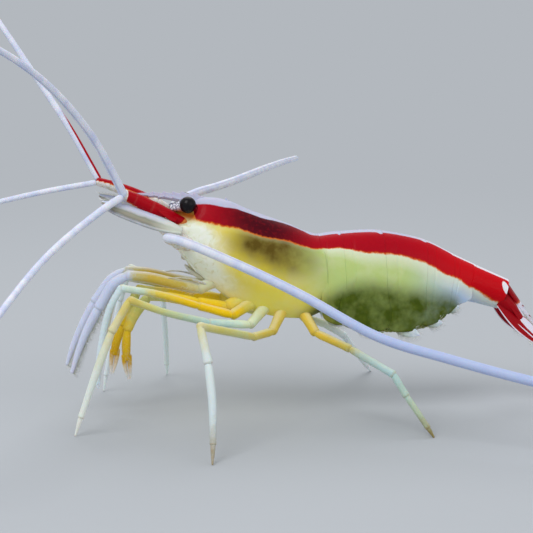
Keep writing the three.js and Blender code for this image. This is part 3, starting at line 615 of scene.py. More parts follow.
def tube_ring(grow):
    """The sixth ring's oval skin, moved out by grow."""
    rise = 0.5 + 0.5 * np.cos(turn)
    out = (half + grow) * np.sin(turn)
    tall = np.hypot(back_x - low_x, back_z - low_z)
    rise = rise + grow * np.cos(turn) / tall
    return np.stack([low_x + (back_x - low_x) * rise, out, low_z + (back_z - low_z) * rise], -1)


points, faces = thin_shell(tube_ring(swell), tube_ring(swell - RING_THICK))
sixth = (points, faces, ring_marks(6, points, np.tile(np.abs(np.degrees(turn)).ravel(), 2)))
piece("tail_ring_6", [sixth, core], cuticle, ["abdomen_6"])

# ---- eggs ----
# A clutch of several hundred soft green eggs, glued to the hairs of the paddles and held under the tail. Each
# is green yolk in a clear skin, about 0.6 mm across.
eggs_random = np.random.default_rng(11)
EGG = 0.31  # mm, radius
EGG_FINENESS = 2  # how often the faces of a ball are split
CLUTCH_FRONT, CLUTCH_BACK = 0.5, 4.86  # in ring edges
CLUTCH_SAG = 0.42  # how far the clutch hangs below the side plates
CLUTCH_TOP = 0.42  # its height in a ring, as a share
CLUTCH_WIDE, CLUTCH_INSET = 0.85, 0.25  # share of a ring's half width that it fills, less an inset
EGG_GAP, ROW_GAP = 1.75, 1.62  # spacing round a row and between rows, in radii of an egg
EGG_STRAY = 0.045
YOLK_GRAIN = 0.12  # mm


def ball(subdivisions):
    """Points and faces of a round ball of radius 1."""
    form = bmesh.new()
    bmesh.ops.create_icosphere(form, subdivisions=subdivisions, radius=1.0)
    points = np.array([tuple(v.co) for v in form.verts])
    faces = [[v.index for v in f.verts] for f in form.faces]
    form.free()
    return points, faces


egg_ball = ball(EGG_FINENESS)
egg_parts = []
place_now, row = CLUTCH_FRONT, 0
while place_now < CLUTCH_BACK:
    share = (place_now - CLUTCH_FRONT) / (CLUTCH_BACK - CLUTCH_FRONT)
    back_x, back_z, low_x, low_z, half = ring_at(place_now)
    tall = math.hypot(back_x - low_x, back_z - low_z)
    swell = math.sqrt(max(1 - 0.92 * abs(2 * share - 1) ** 4, 0))
    top = tall * CLUTCH_TOP
    wide = (half * CLUTCH_WIDE - CLUTCH_INSET) * swell
    middle, high = (top - CLUTCH_SAG) / 2, (top + CLUTCH_SAG) / 2 * swell
    count = max(int(math.pi * (wide + high) / (EGG_GAP * EGG)), 6)
    for i in range(count):
        turn_now = 2 * math.pi * (i + 0.5 * (row % 2)) / count
        out, rise = wide * math.sin(turn_now), middle + high * math.cos(turn_now)
        if rise > top * 0.8:
            continue
        centre = np.array([low_x, out, low_z]) + np.array([back_x - low_x, 0, back_z - low_z]) * rise / tall
        centre = centre + eggs_random.normal(0, EGG_STRAY, 3)
        size = EGG * eggs_random.uniform(0.9, 1.08, 3)
        egg_parts.append((egg_ball[0] * size + centre, egg_ball[1], {"tone": eggs_random.uniform(0, 1)}))
    place_now += ROW_GAP * EGG / (ring_at(min(place_now + 0.5, 6))[2] - ring_at(place_now - 0.5)[2])
    row += 1

# Egg skin, clear and wet: a small soft highlight on each, and green yolk that glows a little through it.
egg_skin, tree = empty_material("egg_skin_over_yolk")
place = node(tree, "TexCoord").outputs["Object"]
tone = node(tree, "Attribute", attribute_name="tone").outputs["Fac"]
grains = node(tree, "TexNoise", {"Vector": place, "Scale": MM / YOLK_GRAIN, "Detail": 2.0})
yolk = node(tree, "Mix", [tone, colour("5d6c1e"), colour("8d9a38")], data_type="RGBA")
yolk_grain = node(tree, "MapRange", {"Value": grains, "From Min": 0.35, "From Max": 0.7, "To Max": 0.4})
yolk = node(tree, "Mix", [yolk_grain, yolk, colour("a9b356")], data_type="RGBA")
face = node(tree, "BsdfPrincipled", {
    "Base Color": yolk,
    "Roughness": 0.34,
    "IOR": 1.38,
    "Coat Weight": 0.2,
    "Coat Roughness": 0.1,
    "Subsurface Weight": 0.25,
    "Subsurface Scale": 0.0004,
})
node(tree, "OutputMaterial", [face])
piece("egg_clutch", egg_parts, egg_skin, ["egg_mass"])

# ---- paddles ----
# The pairs of swimming paddles under rings 1 to 5: two thin leaves of clear chitin on each side, edged with
# fine hairs. They carry the eggs and fan water over them, and their ends stand out below the side plates.
BLADE_STEPS, BLADE_SIDES = 44, 24
BRISTLE_POINTS = 7  # two rings of three points and a tip


def blade(root, ahead, across, length, half_widths, thick, rib=0.0, bow=0.0, cup=0.0, steps=BLADE_STEPS,
        sides=BLADE_SIDES):
    """A closed thin leaf. Layers: along (0 to 1) and across (-1 to 1). bow bends its tip, cup its edges."""
    ahead = np.asarray(ahead, float) / np.linalg.norm(ahead)
    across = np.asarray(across, float) - ahead * np.dot(across, ahead)
    across = across / np.linalg.norm(across)
    face_way = np.cross(ahead, across)
    round_it = np.linspace(0, 2 * math.pi, sides, endpoint=False)
    u, turn = np.meshgrid(np.linspace(0, 1, steps), round_it, indexing="ij")
    half = curve([(i / (len(half_widths) - 1), w) for i, w in enumerate(half_widths)])(u)
    s = np.sin(turn)
    body = thick / 2 * np.sqrt(np.clip(half / max(half_widths), 0.02, 1))
    height = body * np.cos(turn) + rib * bell(s, 0.16) * np.clip(np.cos(turn), 0, 1) * (1 - u * 0.7)
    height = height + bow * u**2 + cup * s**2 * half
    points = np.asarray(root, float) + u[..., None] * length * ahead
    points = points + (s * half)[..., None] * across + height[..., None] * face_way
    grid, faces = loft(points)
    return grid, faces, {"along": u.ravel(), "across": s.ravel()}


def bristles(roots, ways, lengths, radius, droop=(0, 0, 0)):
    """Closed three-sided bristles as one part, with a layer along (0 at the root, 1 at the tip)."""
    roots, ways = np.asarray(roots, float), np.asarray(ways, float)
    ways = ways / np.linalg.norm(ways, axis=1)[:, None]
    lengths = np.broadcast_to(lengths, len(roots))[:, None]
    aside = np.cross(ways, [0.31, 0.52, 0.79])
    aside = aside / np.linalg.norm(aside, axis=1)[:, None]
    other = np.cross(ways, aside)
    rings = []
    for share, width in ((-0.06, 1.0), (0.45, 0.75)):
        centre = roots + ways * lengths * share + np.array(droop) * lengths * max(share, 0) ** 2
        for k in range(3):
            turn = 2 * math.pi * k / 3
            rings.append(centre + (aside * math.cos(turn) + other * math.sin(turn)) * radius * width)
    rings.append(roots + ways * lengths + np.array(droop) * lengths)
    points = np.stack(rings, 1).reshape(-1, 3)
    one = [[2, 1, 0], [0, 1, 4, 3], [1, 2, 5, 4], [2, 0, 3, 5], [3, 4, 6], [4, 5, 6], [5, 3, 6]]
    faces = [[i + BRISTLE_POINTS * n for i in f] for n in range(len(roots)) for f in one]
    layers = {"along": np.tile([0, 0, 0, 0.45, 0.45, 0.45, 1.0], len(roots))}
    return points, faces, layers


BOTH_EDGES = ((0.25, 1.0, -1), (0.25, 1.0, 1))  # spans of a blade's edges: from, to, side


def edge_bristles(leaf, sizes, rng, spans=BOTH_EDGES, lean=0.6, steps=BLADE_STEPS, sides=BLADE_SIDES):
    """Bristles along a blade's edges, of sizes (length, radius, spacing). lean tips them towards its end."""
    length, radius, spacing = sizes
    points = leaf[0].reshape(steps, sides, 3)
    roots, ways = [], []
    middle = points.mean(axis=1)
    for start, end, side in spans:
        edge = points[:, sides // 4 if side > 0 else 3 * sides // 4]
        distance = np.concatenate([[0], np.cumsum(np.linalg.norm(np.diff(edge, axis=0), axis=1))])
        share = np.linspace(0, 1, steps)
        places = np.arange(distance[int(start * (steps - 1))], distance[int(end * (steps - 1))], spacing)
        spot = np.stack([np.interp(places, distance, edge[:, k]) for k in range(3)], -1)
        inner = np.stack([np.interp(places, distance, middle[:, k]) for k in range(3)], -1)
        outward = spot - inner
        outward = outward / np.maximum(np.linalg.norm(outward, axis=1), 1e-6)[:, None]
        forward = np.gradient(middle, axis=0)
        forward = np.stack([np.interp(places, distance, forward[:, k]) for k in range(3)], -1)
        forward = forward / np.linalg.norm(forward, axis=1)[:, None]
        tip = np.interp(places, distance, share)[:, None] ** 6
        roots.append(spot)
        ways.append(outward * (1 - 0.6 * tip) + forward * (lean + tip) + rng.normal(0, 0.09, spot.shape))
    roots, ways = np.concatenate(roots), np.concatenate(ways)
    return bristles(roots, ways, length * rng.uniform(0.75, 1.1, len(roots)), radius)


def plan_uv(thing, across=0.003):
    """A UV map: each bristle fills a patch, across wide, at its root's place on a side plan of the piece."""
    mesh = thing.data
    points = np.array([tuple(v.co) for v in mesh.vertices])
    low, high = points.min(axis=0), points.max(axis=0)
    flat = (points - low) / np.maximum(high - low, 1e-9)
    owner = np.repeat(np.arange(len(points) // BRISTLE_POINTS) * BRISTLE_POINTS, BRISTLE_POINTS)
    spread = (flat - flat[owner])[:, [0, 2]]
    reach = np.abs(spread).max(axis=1).reshape(-1, BRISTLE_POINTS).max(axis=1).repeat(BRISTLE_POINTS)[:, None]
    spots = flat[owner][:, [0, 2]] * 0.98 + 0.01 + spread / np.maximum(reach, 1e-9) * across / 2
    loops = np.zeros(len(mesh.loops), np.int32)
    mesh.loops.foreach_get("vertex_index", loops)
    mesh.uv_layers.new(name="OFBake").data.foreach_set("uv", spots[loops].astype(np.float32).ravel())


# Bristle chitin: uncoloured and clear, so it reads white, a little yellow where it is rooted.
bristle_chitin, tree = empty_material("bristle_chitin_clear")
along_hair = node(tree, "Attribute", attribute_name="along").outputs["Fac"]
hair_colour = node(tree, "Mix", [along_hair, colour("d9dbc8"), colour("f2f3fa")], data_type="RGBA")
face = node(tree, "BsdfPrincipled", {**WET_CHITIN, "Base Color": hair_colour})
node(tree, "OutputMaterial", [face])

# Rings 1 to 5: length, degrees below level, half width.
PADDLES = [(2.3, 24, 0.5), (3.2, 22, 0.7), (3.2, 20, 0.7), (1.9, 0, 0.55), (1.3, -25, 0.45)]
PADDLE_WIDTHS = (0.4, 0.8, 1, 0.95, 0.7, 0.15)  # shares of the half width, from root to tip
PADDLE_THICK = 0.16
# The two leaves of a paddle: how far out, share of the length, how far down, tilt.
LEAVES = [(0.0, 1.0, 0.0, 0.1), (-0.45, 0.86, 0.25, -0.25)]
PADDLE_HAIRS = (0.75, 0.022, 0.11)  # length, radius, spacing
PADDLE_VEIN = 0.5  # mm
paddle_random = np.random.default_rng(5)
paddle_leaves, paddle_hairs = [], []
for number, (length, degrees, half) in enumerate(PADDLES, 1):
    slope = math.radians(degrees)
    ahead = np.array([math.cos(slope), 0, -math.sin(slope)])
    back_x, back_z, low_x, low_z, ring_half = ring_at(number - 0.7)
    for side in (-1, 1):
        root = np.array([low_x, side * (ring_half * 0.89 - 0.3), low_z + half * 0.9])
        for out, share, drop, tilt in LEAVES:
            way = ahead + [0, side * 0.05, 0]
            across = [math.sin(slope), side * tilt, math.cos(slope)]
            half_widths = [part * half for part in PADDLE_WIDTHS]
            leaf = blade(root + [0, side * out, -drop], way, across, length * share, half_widths,
                PADDLE_THICK, rib=0.05, bow=-side * 0.2)
            paddle_leaves.append(leaf)
            paddle_hairs.append(edge_bristles(leaf, PADDLE_HAIRS, paddle_random))

# Paddle chitin, thin and nearly clear over veined blue-white tissue: pale, and greener towards its root.
paddle_chitin, tree = empty_material("paddle_chitin_thin")
place = node(tree, "TexCoord").outputs["Object"]
along_leaf = node(tree, "Attribute", attribute_name="along").outputs["Fac"]
veins = node(tree, "TexNoise", {"Vector": place, "Scale": MM / PADDLE_VEIN, "Detail": 3.0})
leaf_colour = node(tree, "Mix", [along_leaf, colour("c3d0a6"), colour("dfe8f6")], data_type="RGBA")
vein_share = node(tree, "MapRange", {"Value": veins, "From Min": 0.45, "From Max": 0.7, "To Max": 0.45})
leaf_colour = node(tree, "Mix", [vein_share, leaf_colour, colour("a9bbd0")], data_type="RGBA")
face = node(tree, "BsdfPrincipled", {**WET_CHITIN, "Base Color": leaf_colour})
node(tree, "OutputMaterial", [face])
piece("paddles", paddle_leaves, paddle_chitin, [])
plan_uv(piece("paddle_bristles", paddle_hairs, bristle_chitin, []))

# ---- tail fan ----
# A pointed middle plate with two short flaps on each side, all hinged on the sixth ring. Each is a thin stiff
# blade of chitin, ribbed down its middle and fringed with hairs, red with white marks.
TAIL_ROOT, TAIL_SLOPE = np.array([25.55, 0.0, 14.85]), math.radians(54)  # at the middle plate's hinge
PLATE_LENGTH, PLATE_THICK, FLAP_THICK = 7.1, 0.62, 0.3
PLATE_WIDTHS = (0.95, 1.05, 1.0, 0.88, 0.7, 0.5, 0.2)
PLATE_IN = 0.5  # how far the middle plate is pushed under the sixth ring
PLATE_HAIRS, FLAP_HAIRS = (0.8, 0.026, 0.1), (0.85, 0.024, 0.1)  # length, radius, spacing
# Share down the plate, share of its width.
PLATE_SPINES = [(0.5, 0.62), (0.75, 0.5), (0.985, 0.3), (0.98, 0.62)]
SPINE_LONG, SPINE_RADIUS = 0.55, 0.07
tail_down = np.array([math.cos(TAIL_SLOPE), 0, -math.sin(TAIL_SLOPE)])
tail_face = np.array([math.sin(TAIL_SLOPE), 0, math.cos(TAIL_SLOPE)])
# Flaps: slope, spread and roll in degrees, root, length, half widths.
FLAPS = {
    "inner": (54, 7, 32, (25.15, 0.8, 14.35), 7.1, (0.5, 0.9, 1.08, 1.12, 1.0, 0.72, 0.2)),
    "outer": (42, 14, 50, (24.45, 1.3, 12.8), 7.4, (0.5, 0.9, 1.2, 1.32, 1.22, 0.95, 0.3)),
}
# The stout joint that both flaps of a side turn on: x, y to the side, z, half thickness.
HINGE_BLOCK = [
    (24.2, 0.8, 13.5, 0.8), (25.0, 1.05, 12.9, 0.85), (26.0, 1.3, 12.1, 0.7), (26.8, 1.5, 11.4, 0.3),
]
fan_random = np.random.default_rng(7)


def flap(kind, side):
    """The blade of one flap of the tail fan."""
    slope, spread, roll, (root_x, root_y, root_z), length, half_widths = FLAPS[kind]
    slope, turn, lean = math.radians(slope), math.radians(spread), math.radians(roll)
    down = np.array([math.cos(slope), 0, -math.sin(slope)])
    face = np.array([math.sin(slope), 0, math.cos(slope)])
    sideways = np.array([0.0, side, 0.0])
    ahead = down * math.cos(turn) + sideways * math.sin(turn)
    flat = sideways * math.cos(turn) - down * math.sin(turn)
    across = flat * math.cos(lean) - face * math.sin(lean)
    root = np.array([root_x, side * root_y, root_z])
    return blade(root, ahead, across, length, half_widths, FLAP_THICK, rib=0.12, cup=-0.12 * side,
        bow=-0.25 * side)


def smooth_route(points, spacing):
    """Evenly spaced places on a smooth curve through points. Columns after the third are carried along."""
    p = np.asarray(points, float)
    p = np.vstack([2 * p[0] - p[1], p, 2 * p[-1] - p[-2]])
    made = []
    for i in range(1, len(p) - 2):
        steps = [max(np.linalg.norm(p[i + k][:3] - p[i + k - 1][:3]) ** 0.5, 1e-4) for k in range(3)]
        k0, k1, k2 = steps
        way_in = ((p[i] - p[i - 1]) / k0 - (p[i + 1] - p[i - 1]) / (k0 + k1) + (p[i + 1] - p[i]) / k1) * k1
        way_out = ((p[i + 1] - p[i]) / k1 - (p[i + 2] - p[i]) / (k1 + k2) + (p[i + 2] - p[i + 1]) / k2) * k1
        t = np.linspace(0, 1, 24, endpoint=False)[:, None]
        made.append(p[i] * (2 * t**3 - 3 * t**2 + 1) + way_in * (t**3 - 2 * t**2 + t)
            + p[i + 1] * (3 * t**2 - 2 * t**3) + way_out * (t**3 - t**2))
    made = np.vstack(made + [p[-2:-1]])
    distance = np.concatenate([[0], np.cumsum(np.linalg.norm(np.diff(made[:, :3], axis=0), axis=1))])
    places = np.linspace(0, distance[-1], max(int(round(distance[-1] / spacing)) + 1, 3))
    return np.stack([np.interp(places, distance, column) for column in made.T], -1)


def tube(path, wide, high=None, across=(0, 1, 0), sides=14, domes=(1.0, 1.0)):
    """A closed round limb on a path, with domed ends. Layers: along (0 to 1), over (1 above, -1 below)."""
    path = np.asarray(path, float)
    wide = np.broadcast_to(wide, len(path)).astype(float)
    high = wide if high is None else np.broadcast_to(high, len(path)).astype(float)
    ahead = np.gradient(path, axis=0)
    ahead = ahead / np.linalg.norm(ahead, axis=1)[:, None]
    aside, sides_way = np.asarray(across, float), []
    for way in ahead:
        aside = aside - way * np.dot(aside, way)
        aside = aside / np.linalg.norm(aside)
        sides_way.append(aside)
    sides_way = np.array(sides_way)
    distance = np.concatenate([[0], np.cumsum(np.linalg.norm(np.diff(path, axis=0), axis=1))])
    rows = list(zip(path, ahead, sides_way, wide, high, distance / distance[-1]))
    for end, dome in ((0, domes[0]), (-1, domes[1])):
        place, way, aside, w, h, share = rows[end]
        cap = []
        for degrees in (30, 55, 78):
            reach = min(w, h) * dome * math.sin(math.radians(degrees)) * (-1 if end == 0 else 1)
            shrink = math.cos(math.radians(degrees))
            cap.append((place + way * reach, way, aside, w * shrink, h * shrink, share))
        rows = cap[::-1] + rows if end == 0 else rows + cap
    turn = np.linspace(0, 2 * math.pi, sides, endpoint=False)
    rings, along, over = [], [], []
    for place, way, aside, w, h, share in rows:
        up = np.cross(aside, way) * (1 if across[1] else -1)
        ring = place + np.outer(np.cos(turn) * w, aside) + np.outer(np.sin(turn) * h, up)
        rings.append(ring)
        along.append(np.full(sides, share))
        over.append((ring - place)[:, 2] / max(w, h, 1e-6))
    points, faces = loft(np.array(rings))
    return points, faces, {"along": np.concatenate(along), "over": np.concatenate(over)}


def fan_cuticle(name, white_nodes):
    """Fan chitin: the same wet cuticle, thinner and striped lengthwise in two reds. white_nodes adds the
    nodes of its white marks, with an orange rim round them."""
    material, tree = empty_material(name)
    place = node(tree, "TexCoord").outputs["Object"]
    cells = node(tree, "TexNoise", {"Vector": place, "Scale": MM / PIGMENT_CELL, "Detail": 2.0,
        "Roughness": 0.6})
    across = node(tree, "Attribute", attribute_name="across").outputs["Fac"]
    along = node(tree, "Attribute", attribute_name="along").outputs["Fac"]
    waver = node(tree, "MapRange", {"Value": cells, "From Min": 0.25, "From Max": 0.75, "To Min": -0.1,
        "To Max": 0.1})
    streak = node(tree, "Math", [node(tree, "Math", [across, 38.0], operation="MULTIPLY")], operation="SINE")
    streak = node(tree, "MapRange", {"Value": streak, "From Min": 0.2, "From Max": 1.0, "To Max": 0.22})
    red = node(tree, "Mix", [streak, colour("98000f"), colour("6a0014")], data_type="RGBA")
    fleck = node(tree, "MapRange", {"Value": cells, "From Min": 0.5, "From Max": 0.8, "To Max": 0.25})
    red = node(tree, "Mix", [fleck, red, colour("b80a24")], data_type="RGBA")
    white = white_nodes(tree, across, along, waver)
    orange = node(tree, "MapRange", {"Value": white, "From Min": -0.12, "From Max": 0.0, "To Max": 0.7})
    base = node(tree, "Mix", [orange, red, colour("dd6a3c")], data_type="RGBA")
    in_white = node(tree, "MapRange", {"Value": white, "From Min": 0.0, "From Max": 0.08})
    base = node(tree, "Mix", [in_white, base, colour("dcdaea")], data_type="RGBA")
    face = node(tree, "BsdfPrincipled", {**WET_CHITIN, "Base Color": base})
    node(tree, "OutputMaterial", [face])
    return material


def white_oval(tree, across, along, off, middle, long, wide):
    """Positive inside an oval of a blade, at a place across and along it."""
    out = node(tree, "Math", [node(tree, "Math", [across, off], operation="SUBTRACT"), wide],
        operation="DIVIDE")
    out = node(tree, "Math", [out, 2.0], operation="POWER")
    far = node(tree, "Math", [node(tree, "Math", [along, middle], operation="SUBTRACT"), long],
        operation="DIVIDE")
    far = node(tree, "Math", [far, 2.0], operation="POWER")
    return node(tree, "Math", [1.0, node(tree, "Math", [out, far], operation="ADD")], operation="SUBTRACT")


def plate_marks(tree, across, along, waver):
    """The middle plate is white past its middle."""
    past = node(tree, "MapRange", {"Value": along, "From Min": 0.3, "From Max": 0.6, "To Min": -0.6,
        "To Max": 0.6})
    return node(tree, "Math", [past, waver], operation="ADD")


def inner_marks(tree, across, along, waver):
    """A long white oval down the half of the blade that faces the middle plate."""
    return node(tree, "Math", [white_oval(tree, across, along, -0.62, 0.68, 0.42, 0.75), waver],
        operation="ADD")


def outer_marks(tree, across, along, waver):
    """A thin white outer edge, a pale line inside it, and a white oval on the half by the inner flap."""
    edge = node(tree, "MapRange", {"Value": across, "From Min": 0.75, "From Max": 1.0, "To Min": -0.5,
        "To Max": 0.4})
    patch = node(tree, "Math", [white_oval(tree, across, along, -0.45, 0.7, 0.33, 0.5), waver],
        operation="ADD")
    line = white_oval(tree, across, along, 0.4, 0.8, 0.34, 0.07)
    both = node(tree, "Math", [edge, patch], operation="MAXIMUM")
    return node(tree, "Math", [both, line], operation="MAXIMUM")


plate_cuticle = fan_cuticle("fan_chitin_plate_white_end", plate_marks)
inner_cuticle = fan_cuticle("fan_chitin_inner_white_oval", inner_marks)
outer_cuticle = fan_cuticle("fan_chitin_outer_white_edge", outer_marks)
fan_hairs = []
middle_plate = blade(TAIL_ROOT - tail_down * PLATE_IN, tail_down, [0, 1, 0], PLATE_LENGTH, PLATE_WIDTHS,
    PLATE_THICK, rib=0.1, cup=-0.3)
plate_spans = ((0.6, 1.0, -1), (0.6, 1.0, 1))
fan_hairs.append(edge_bristles(middle_plate, PLATE_HAIRS, fan_random, spans=plate_spans))
plate_half = curve([(0, 0.85), (0.5, 0.85), (0.83, 0.5), (1, 0.25)])
spine_roots, spine_ways = [], []
for share, out in PLATE_SPINES:
    half = plate_half(share)
    for side in (-1, 1):
        spine_roots.append(TAIL_ROOT + tail_down * 6.6 * share + [0, side * half * out, 0] + tail_face * 0.22)
        spine_ways.append(tail_down + [0, side * 0.15, 0] + tail_face * 0.25)
spines = bristles(spine_roots, spine_ways, SPINE_LONG, SPINE_RADIUS)
piece("tail_plate", [middle_plate, spines], plate_cuticle, ["telson"])
for side, word in ((-1, "left"), (1, "right")):
    for kind in ("inner", "outer"):
        leaf = flap(kind, side)
        parts = [leaf]
        if kind == "outer":
            hinge_route = smooth_route([(x, side * y, z, r) for x, y, z, r in HINGE_BLOCK], 0.15)
            hinge_block = tube(hinge_route[:, :3], hinge_route[:, 3] * 0.8, hinge_route[:, 3], sides=20)
            hinge_block[2]["across"] = np.zeros(len(hinge_block[0]))
            hinge_block[2]["along"] = np.zeros(len(hinge_block[0]))
            parts.append(hinge_block)
        material = inner_cuticle if kind == "inner" else outer_cuticle
        piece(f"tail_flap_{kind}_{word}", parts, material, [f"uropod_{kind}_{word}"])
        fan_hairs.append(edge_bristles(leaf, FLAP_HAIRS, fan_random, spans=((0.3, 1.0, -1), (0.78, 1.0, 1))))
plan_uv(piece("tail_fan_bristles", fan_hairs, bristle_chitin, []))

# ---- eyes ----
# Two round black eyes of many tiny lenses, each on a short stalk with a net of blue-black pigment. They are
# set in the notches of the shield beside the beak.
EYE_RADIUS = 0.98
EYE_FINENESS = 5
LENS = 0.07  # mm, drawn coarser than life so that it shows
LENS_RELIEF = 0.000004  # metres
# Eyestalk from its root beside the beak: x, y to the side and z from the eye's middle, half thickness.
STALK = [
    (-1.75, -1.33, -0.5, 0.42), (-1.1, -1.0, -0.4, 0.55), (-0.5, -0.52, -0.14, 0.76),
    (-0.12, -0.14, -0.02, 0.86),
]
STALK_NET = 0.45  # mm

# Cornea: a smooth clear skin over black pigment. It gives one small soft highlight and the faintest grain.
cornea, tree = empty_material("cornea_clear_over_black")
lenses = node(tree, "TexVoronoi", {"Vector": node(tree, "TexCoord").outputs["Object"], "Scale": MM / LENS})
shade = node(tree, "MapRange", {"Value": lenses, "From Min": 0.1, "From Max": 0.6})
eye_black = node(tree, "Mix", [shade, colour("08070a"), colour("131015")], data_type="RGBA")
lens_relief = node(tree, "Bump", {"Strength": 0.12, "Distance": LENS_RELIEF, "Height": lenses})
face = node(tree, "BsdfPrincipled", {
    "Base Color": eye_black,
    "Roughness": 0.35,
    "IOR": 1.4,
    "Specular IOR Level": 0.1,
    "Coat Weight": 0.2,
    "Coat Roughness": 0.05,
    "Normal": lens_relief,
})
node(tree, "OutputMaterial", [face])

# Stalk chitin: clear over white above and orange below, with a net of blue-black pigment.
stalk_chitin, tree = empty_material("eyestalk_chitin_netted")
place = node(tree, "TexCoord").outputs["Object"]
along_stalk = node(tree, "Attribute", attribute_name="along").outputs["Fac"]
over_stalk = node(tree, "Attribute", attribute_name="over").outputs["Fac"]
mesh_net = node(tree, "TexVoronoi", {"Vector": place, "Scale": MM / STALK_NET}, feature="DISTANCE_TO_EDGE")
net_line = node(tree, "MapRange", {"Value": mesh_net, "From Min": 0.14, "From Max": 0.05, "To Max": 0.75})
under_stalk = node(tree, "MapRange", {"Value": over_stalk, "From Min": -0.1, "From Max": -0.7})
stalk_base = node(tree, "Mix", [under_stalk, colour("e8ecf8"), colour("d8792c")], data_type="RGBA")
stalk_base = node(tree, "Mix", [net_line, stalk_base, colour("25365f")], data_type="RGBA")
rim_dark = node(tree, "MapRange", {"Value": along_stalk, "From Min": 0.86, "From Max": 0.98, "To Max": 0.85})
stalk_base = node(tree, "Mix", [rim_dark, stalk_base, colour("2b2230")], data_type="RGBA")
face = node(tree, "BsdfPrincipled", {**WET_CHITIN, "Base Color": stalk_base})
node(tree, "OutputMaterial", [face])

eye_ball = ball(EYE_FINENESS)
for side, word in ((-1, "left"), (1, "right")):
    centre = EYE * [1, -side, 1]
    lens_form = eye_ball[0] * EYE_RADIUS
    piece(f"eye_{word}_cornea", [(lens_form + centre, eye_ball[1])], cornea, [f"eye_{word}"])
    stalk_rows = [(centre[0] + x, centre[1] + side * y, centre[2] + z, r) for x, y, z, r in STALK]
    stalk_route = smooth_route(stalk_rows, 0.08)
    stalk = tube(stalk_route[:, :3], stalk_route[:, 3], sides=28, domes=(0.5, 0.12))
    piece(f"eyestalk_{word}_cuticle", [stalk], stalk_chitin, [f"eyestalk_{word}"])

# ---- stalks of the first feelers ----
# Three stout segments on each side, hinged end to end, with a pointed scale outside the first and a fringe
# inside. They are of red and white cuticle, and a pair of feelers leaves the end of each.


def jointed(rows, breaks, spacing=0.18, flare=0.10, pinch=0.22, sides=16, across=(0, 1, 0), flat=1.0):
    """A limb of hinged segments through rows of (x, y, z, half thickness), split at the rows numbered in
    breaks. Each segment is pinched at its root and flared near its end. Layers: along, over and joint (1 at a
    hinge)."""
    rows = np.asarray(rows, float)
    lengths = np.concatenate([[0], np.cumsum(np.linalg.norm(np.diff(rows[:, :3], axis=0), axis=1))])
    parts = []
    for start, end in zip(breaks, breaks[1:]):
        route = smooth_route(rows[start : end + 1], spacing)
        distance = np.concatenate([[0], np.cumsum(np.linalg.norm(np.diff(route[:, :3], axis=0), axis=1))])
        radius = route[:, 3]
        root, tip = distance / (radius[0] * 1.6), (distance[-1] - distance) / (radius[-1] * 1.8)
        shape = 1 - pinch * bell(root, 0.6) + flare * bell(tip - 0.25, 0.55)
        points, faces, layers = tube(route[:, :3], radius * shape, radius * shape * flat, across, sides,
            (0.7, 0.55))
        span = (lengths[end] - lengths[start]) / lengths[-1]
        share = layers["along"]
        layers["joint"] = np.maximum(bell(share * distance[-1] / radius[0], 0.5),
            bell((1 - share) * distance[-1] / radius[-1], 0.35))
        layers["along"] = lengths[start] / lengths[-1] + share * span
        parts.append((points, faces, layers))
    return parts


# Stalks of the first feelers, from their roots: x, y, z, half thickness.
ANTENNULE = {
    "left": [
        (-13.2, -0.9, 23.2, 0.4), (-14.8, -1.35, 23.9, 0.64), (-16.3, -1.65, 24.6, 0.84),
        (-17.9, -1.9, 25.45, 0.88), (-19.8, -2.2, 26.5, 0.78), (-21.2, -2.5, 27.25, 0.56),
    ],
    "right": [
        (-13.4, 1.0, 23.5, 0.4), (-14.8, 1.4, 24.15, 0.62), (-17.0, 1.65, 25.35, 0.78),
        (-20.0, 1.7, 26.8, 0.7), (-22.4, 1.6, 27.75, 0.6), (-23.9, 1.5, 28.2, 0.5),
    ],
}
ANTENNULE_HINGES = {"left": [0, 3, 4, 5], "right": [0, 2, 4, 5]}  # numbers of the rows at hinges
POINT_SCALE_LONG, POINT_SCALE_THICK, POINT_SCALE_WIDTHS = 2.6, 0.2, (0.3, 0.42, 0.36, 0.22, 0.03)

# Stalk cuticle: wet chitin, red above with a thin orange rim, pale below, and orange at the root. Layer
# red_from is how high the red starts, where 1 is the top line and -1 the lowest.
feeler_stalk, tree = empty_material("stalk_chitin_red_white")
place = node(tree, "TexCoord").outputs["Object"]
cells = node(tree, "TexNoise", {"Vector": place, "Scale": MM / PIGMENT_CELL, "Detail": 2.0, "Roughness": 0.6})
over = node(tree, "Attribute", attribute_name="over").outputs["Fac"]
joint = node(tree, "Attribute", attribute_name="joint").outputs["Fac"]
red_from = node(tree, "Attribute", attribute_name="red_from").outputs["Fac"]
waver = node(tree, "MapRange", {"Value": cells, "From Min": 0.25, "From Max": 0.75, "To Min": -0.15,
    "To Max": 0.15})
above = node(tree, "Math", [node(tree, "Math", [over, red_from], operation="SUBTRACT"), waver],
    operation="ADD")
blotch = node(tree, "MapRange", {"Value": cells, "From Min": 0.4, "From Max": 0.7})
pale = node(tree, "Mix", [blotch, colour("e6e2e2"), colour("cfc8ae")], data_type="RGBA")
along = node(tree, "Attribute", attribute_name="along").outputs["Fac"]
root_share = node(tree, "MapRange", {"Value": along, "From Min": 0.22, "From Max": 0.14})
pale = node(tree, "Mix", [root_share, pale, colour("e08a48")], data_type="RGBA")
in_orange = node(tree, "MapRange", {"Value": above, "From Min": -0.22, "From Max": -0.06})
base = node(tree, "Mix", [in_orange, pale, colour("dc6a18")], data_type="RGBA")
in_red = node(tree, "MapRange", {"Value": above, "From Min": -0.06, "From Max": 0.04})
base = node(tree, "Mix", [in_red, base, colour("a60014")], data_type="RGBA")
at_hinge = node(tree, "MapRange", {"Value": joint, "From Min": 0.7, "From Max": 0.95, "To Max": 0.03})
base = node(tree, "Mix", [at_hinge, base, colour("c8b8a4")], data_type="RGBA")
face = node(tree, "BsdfPrincipled", {**WET_CHITIN, "Base Color": base})
node(tree, "OutputMaterial", [face])

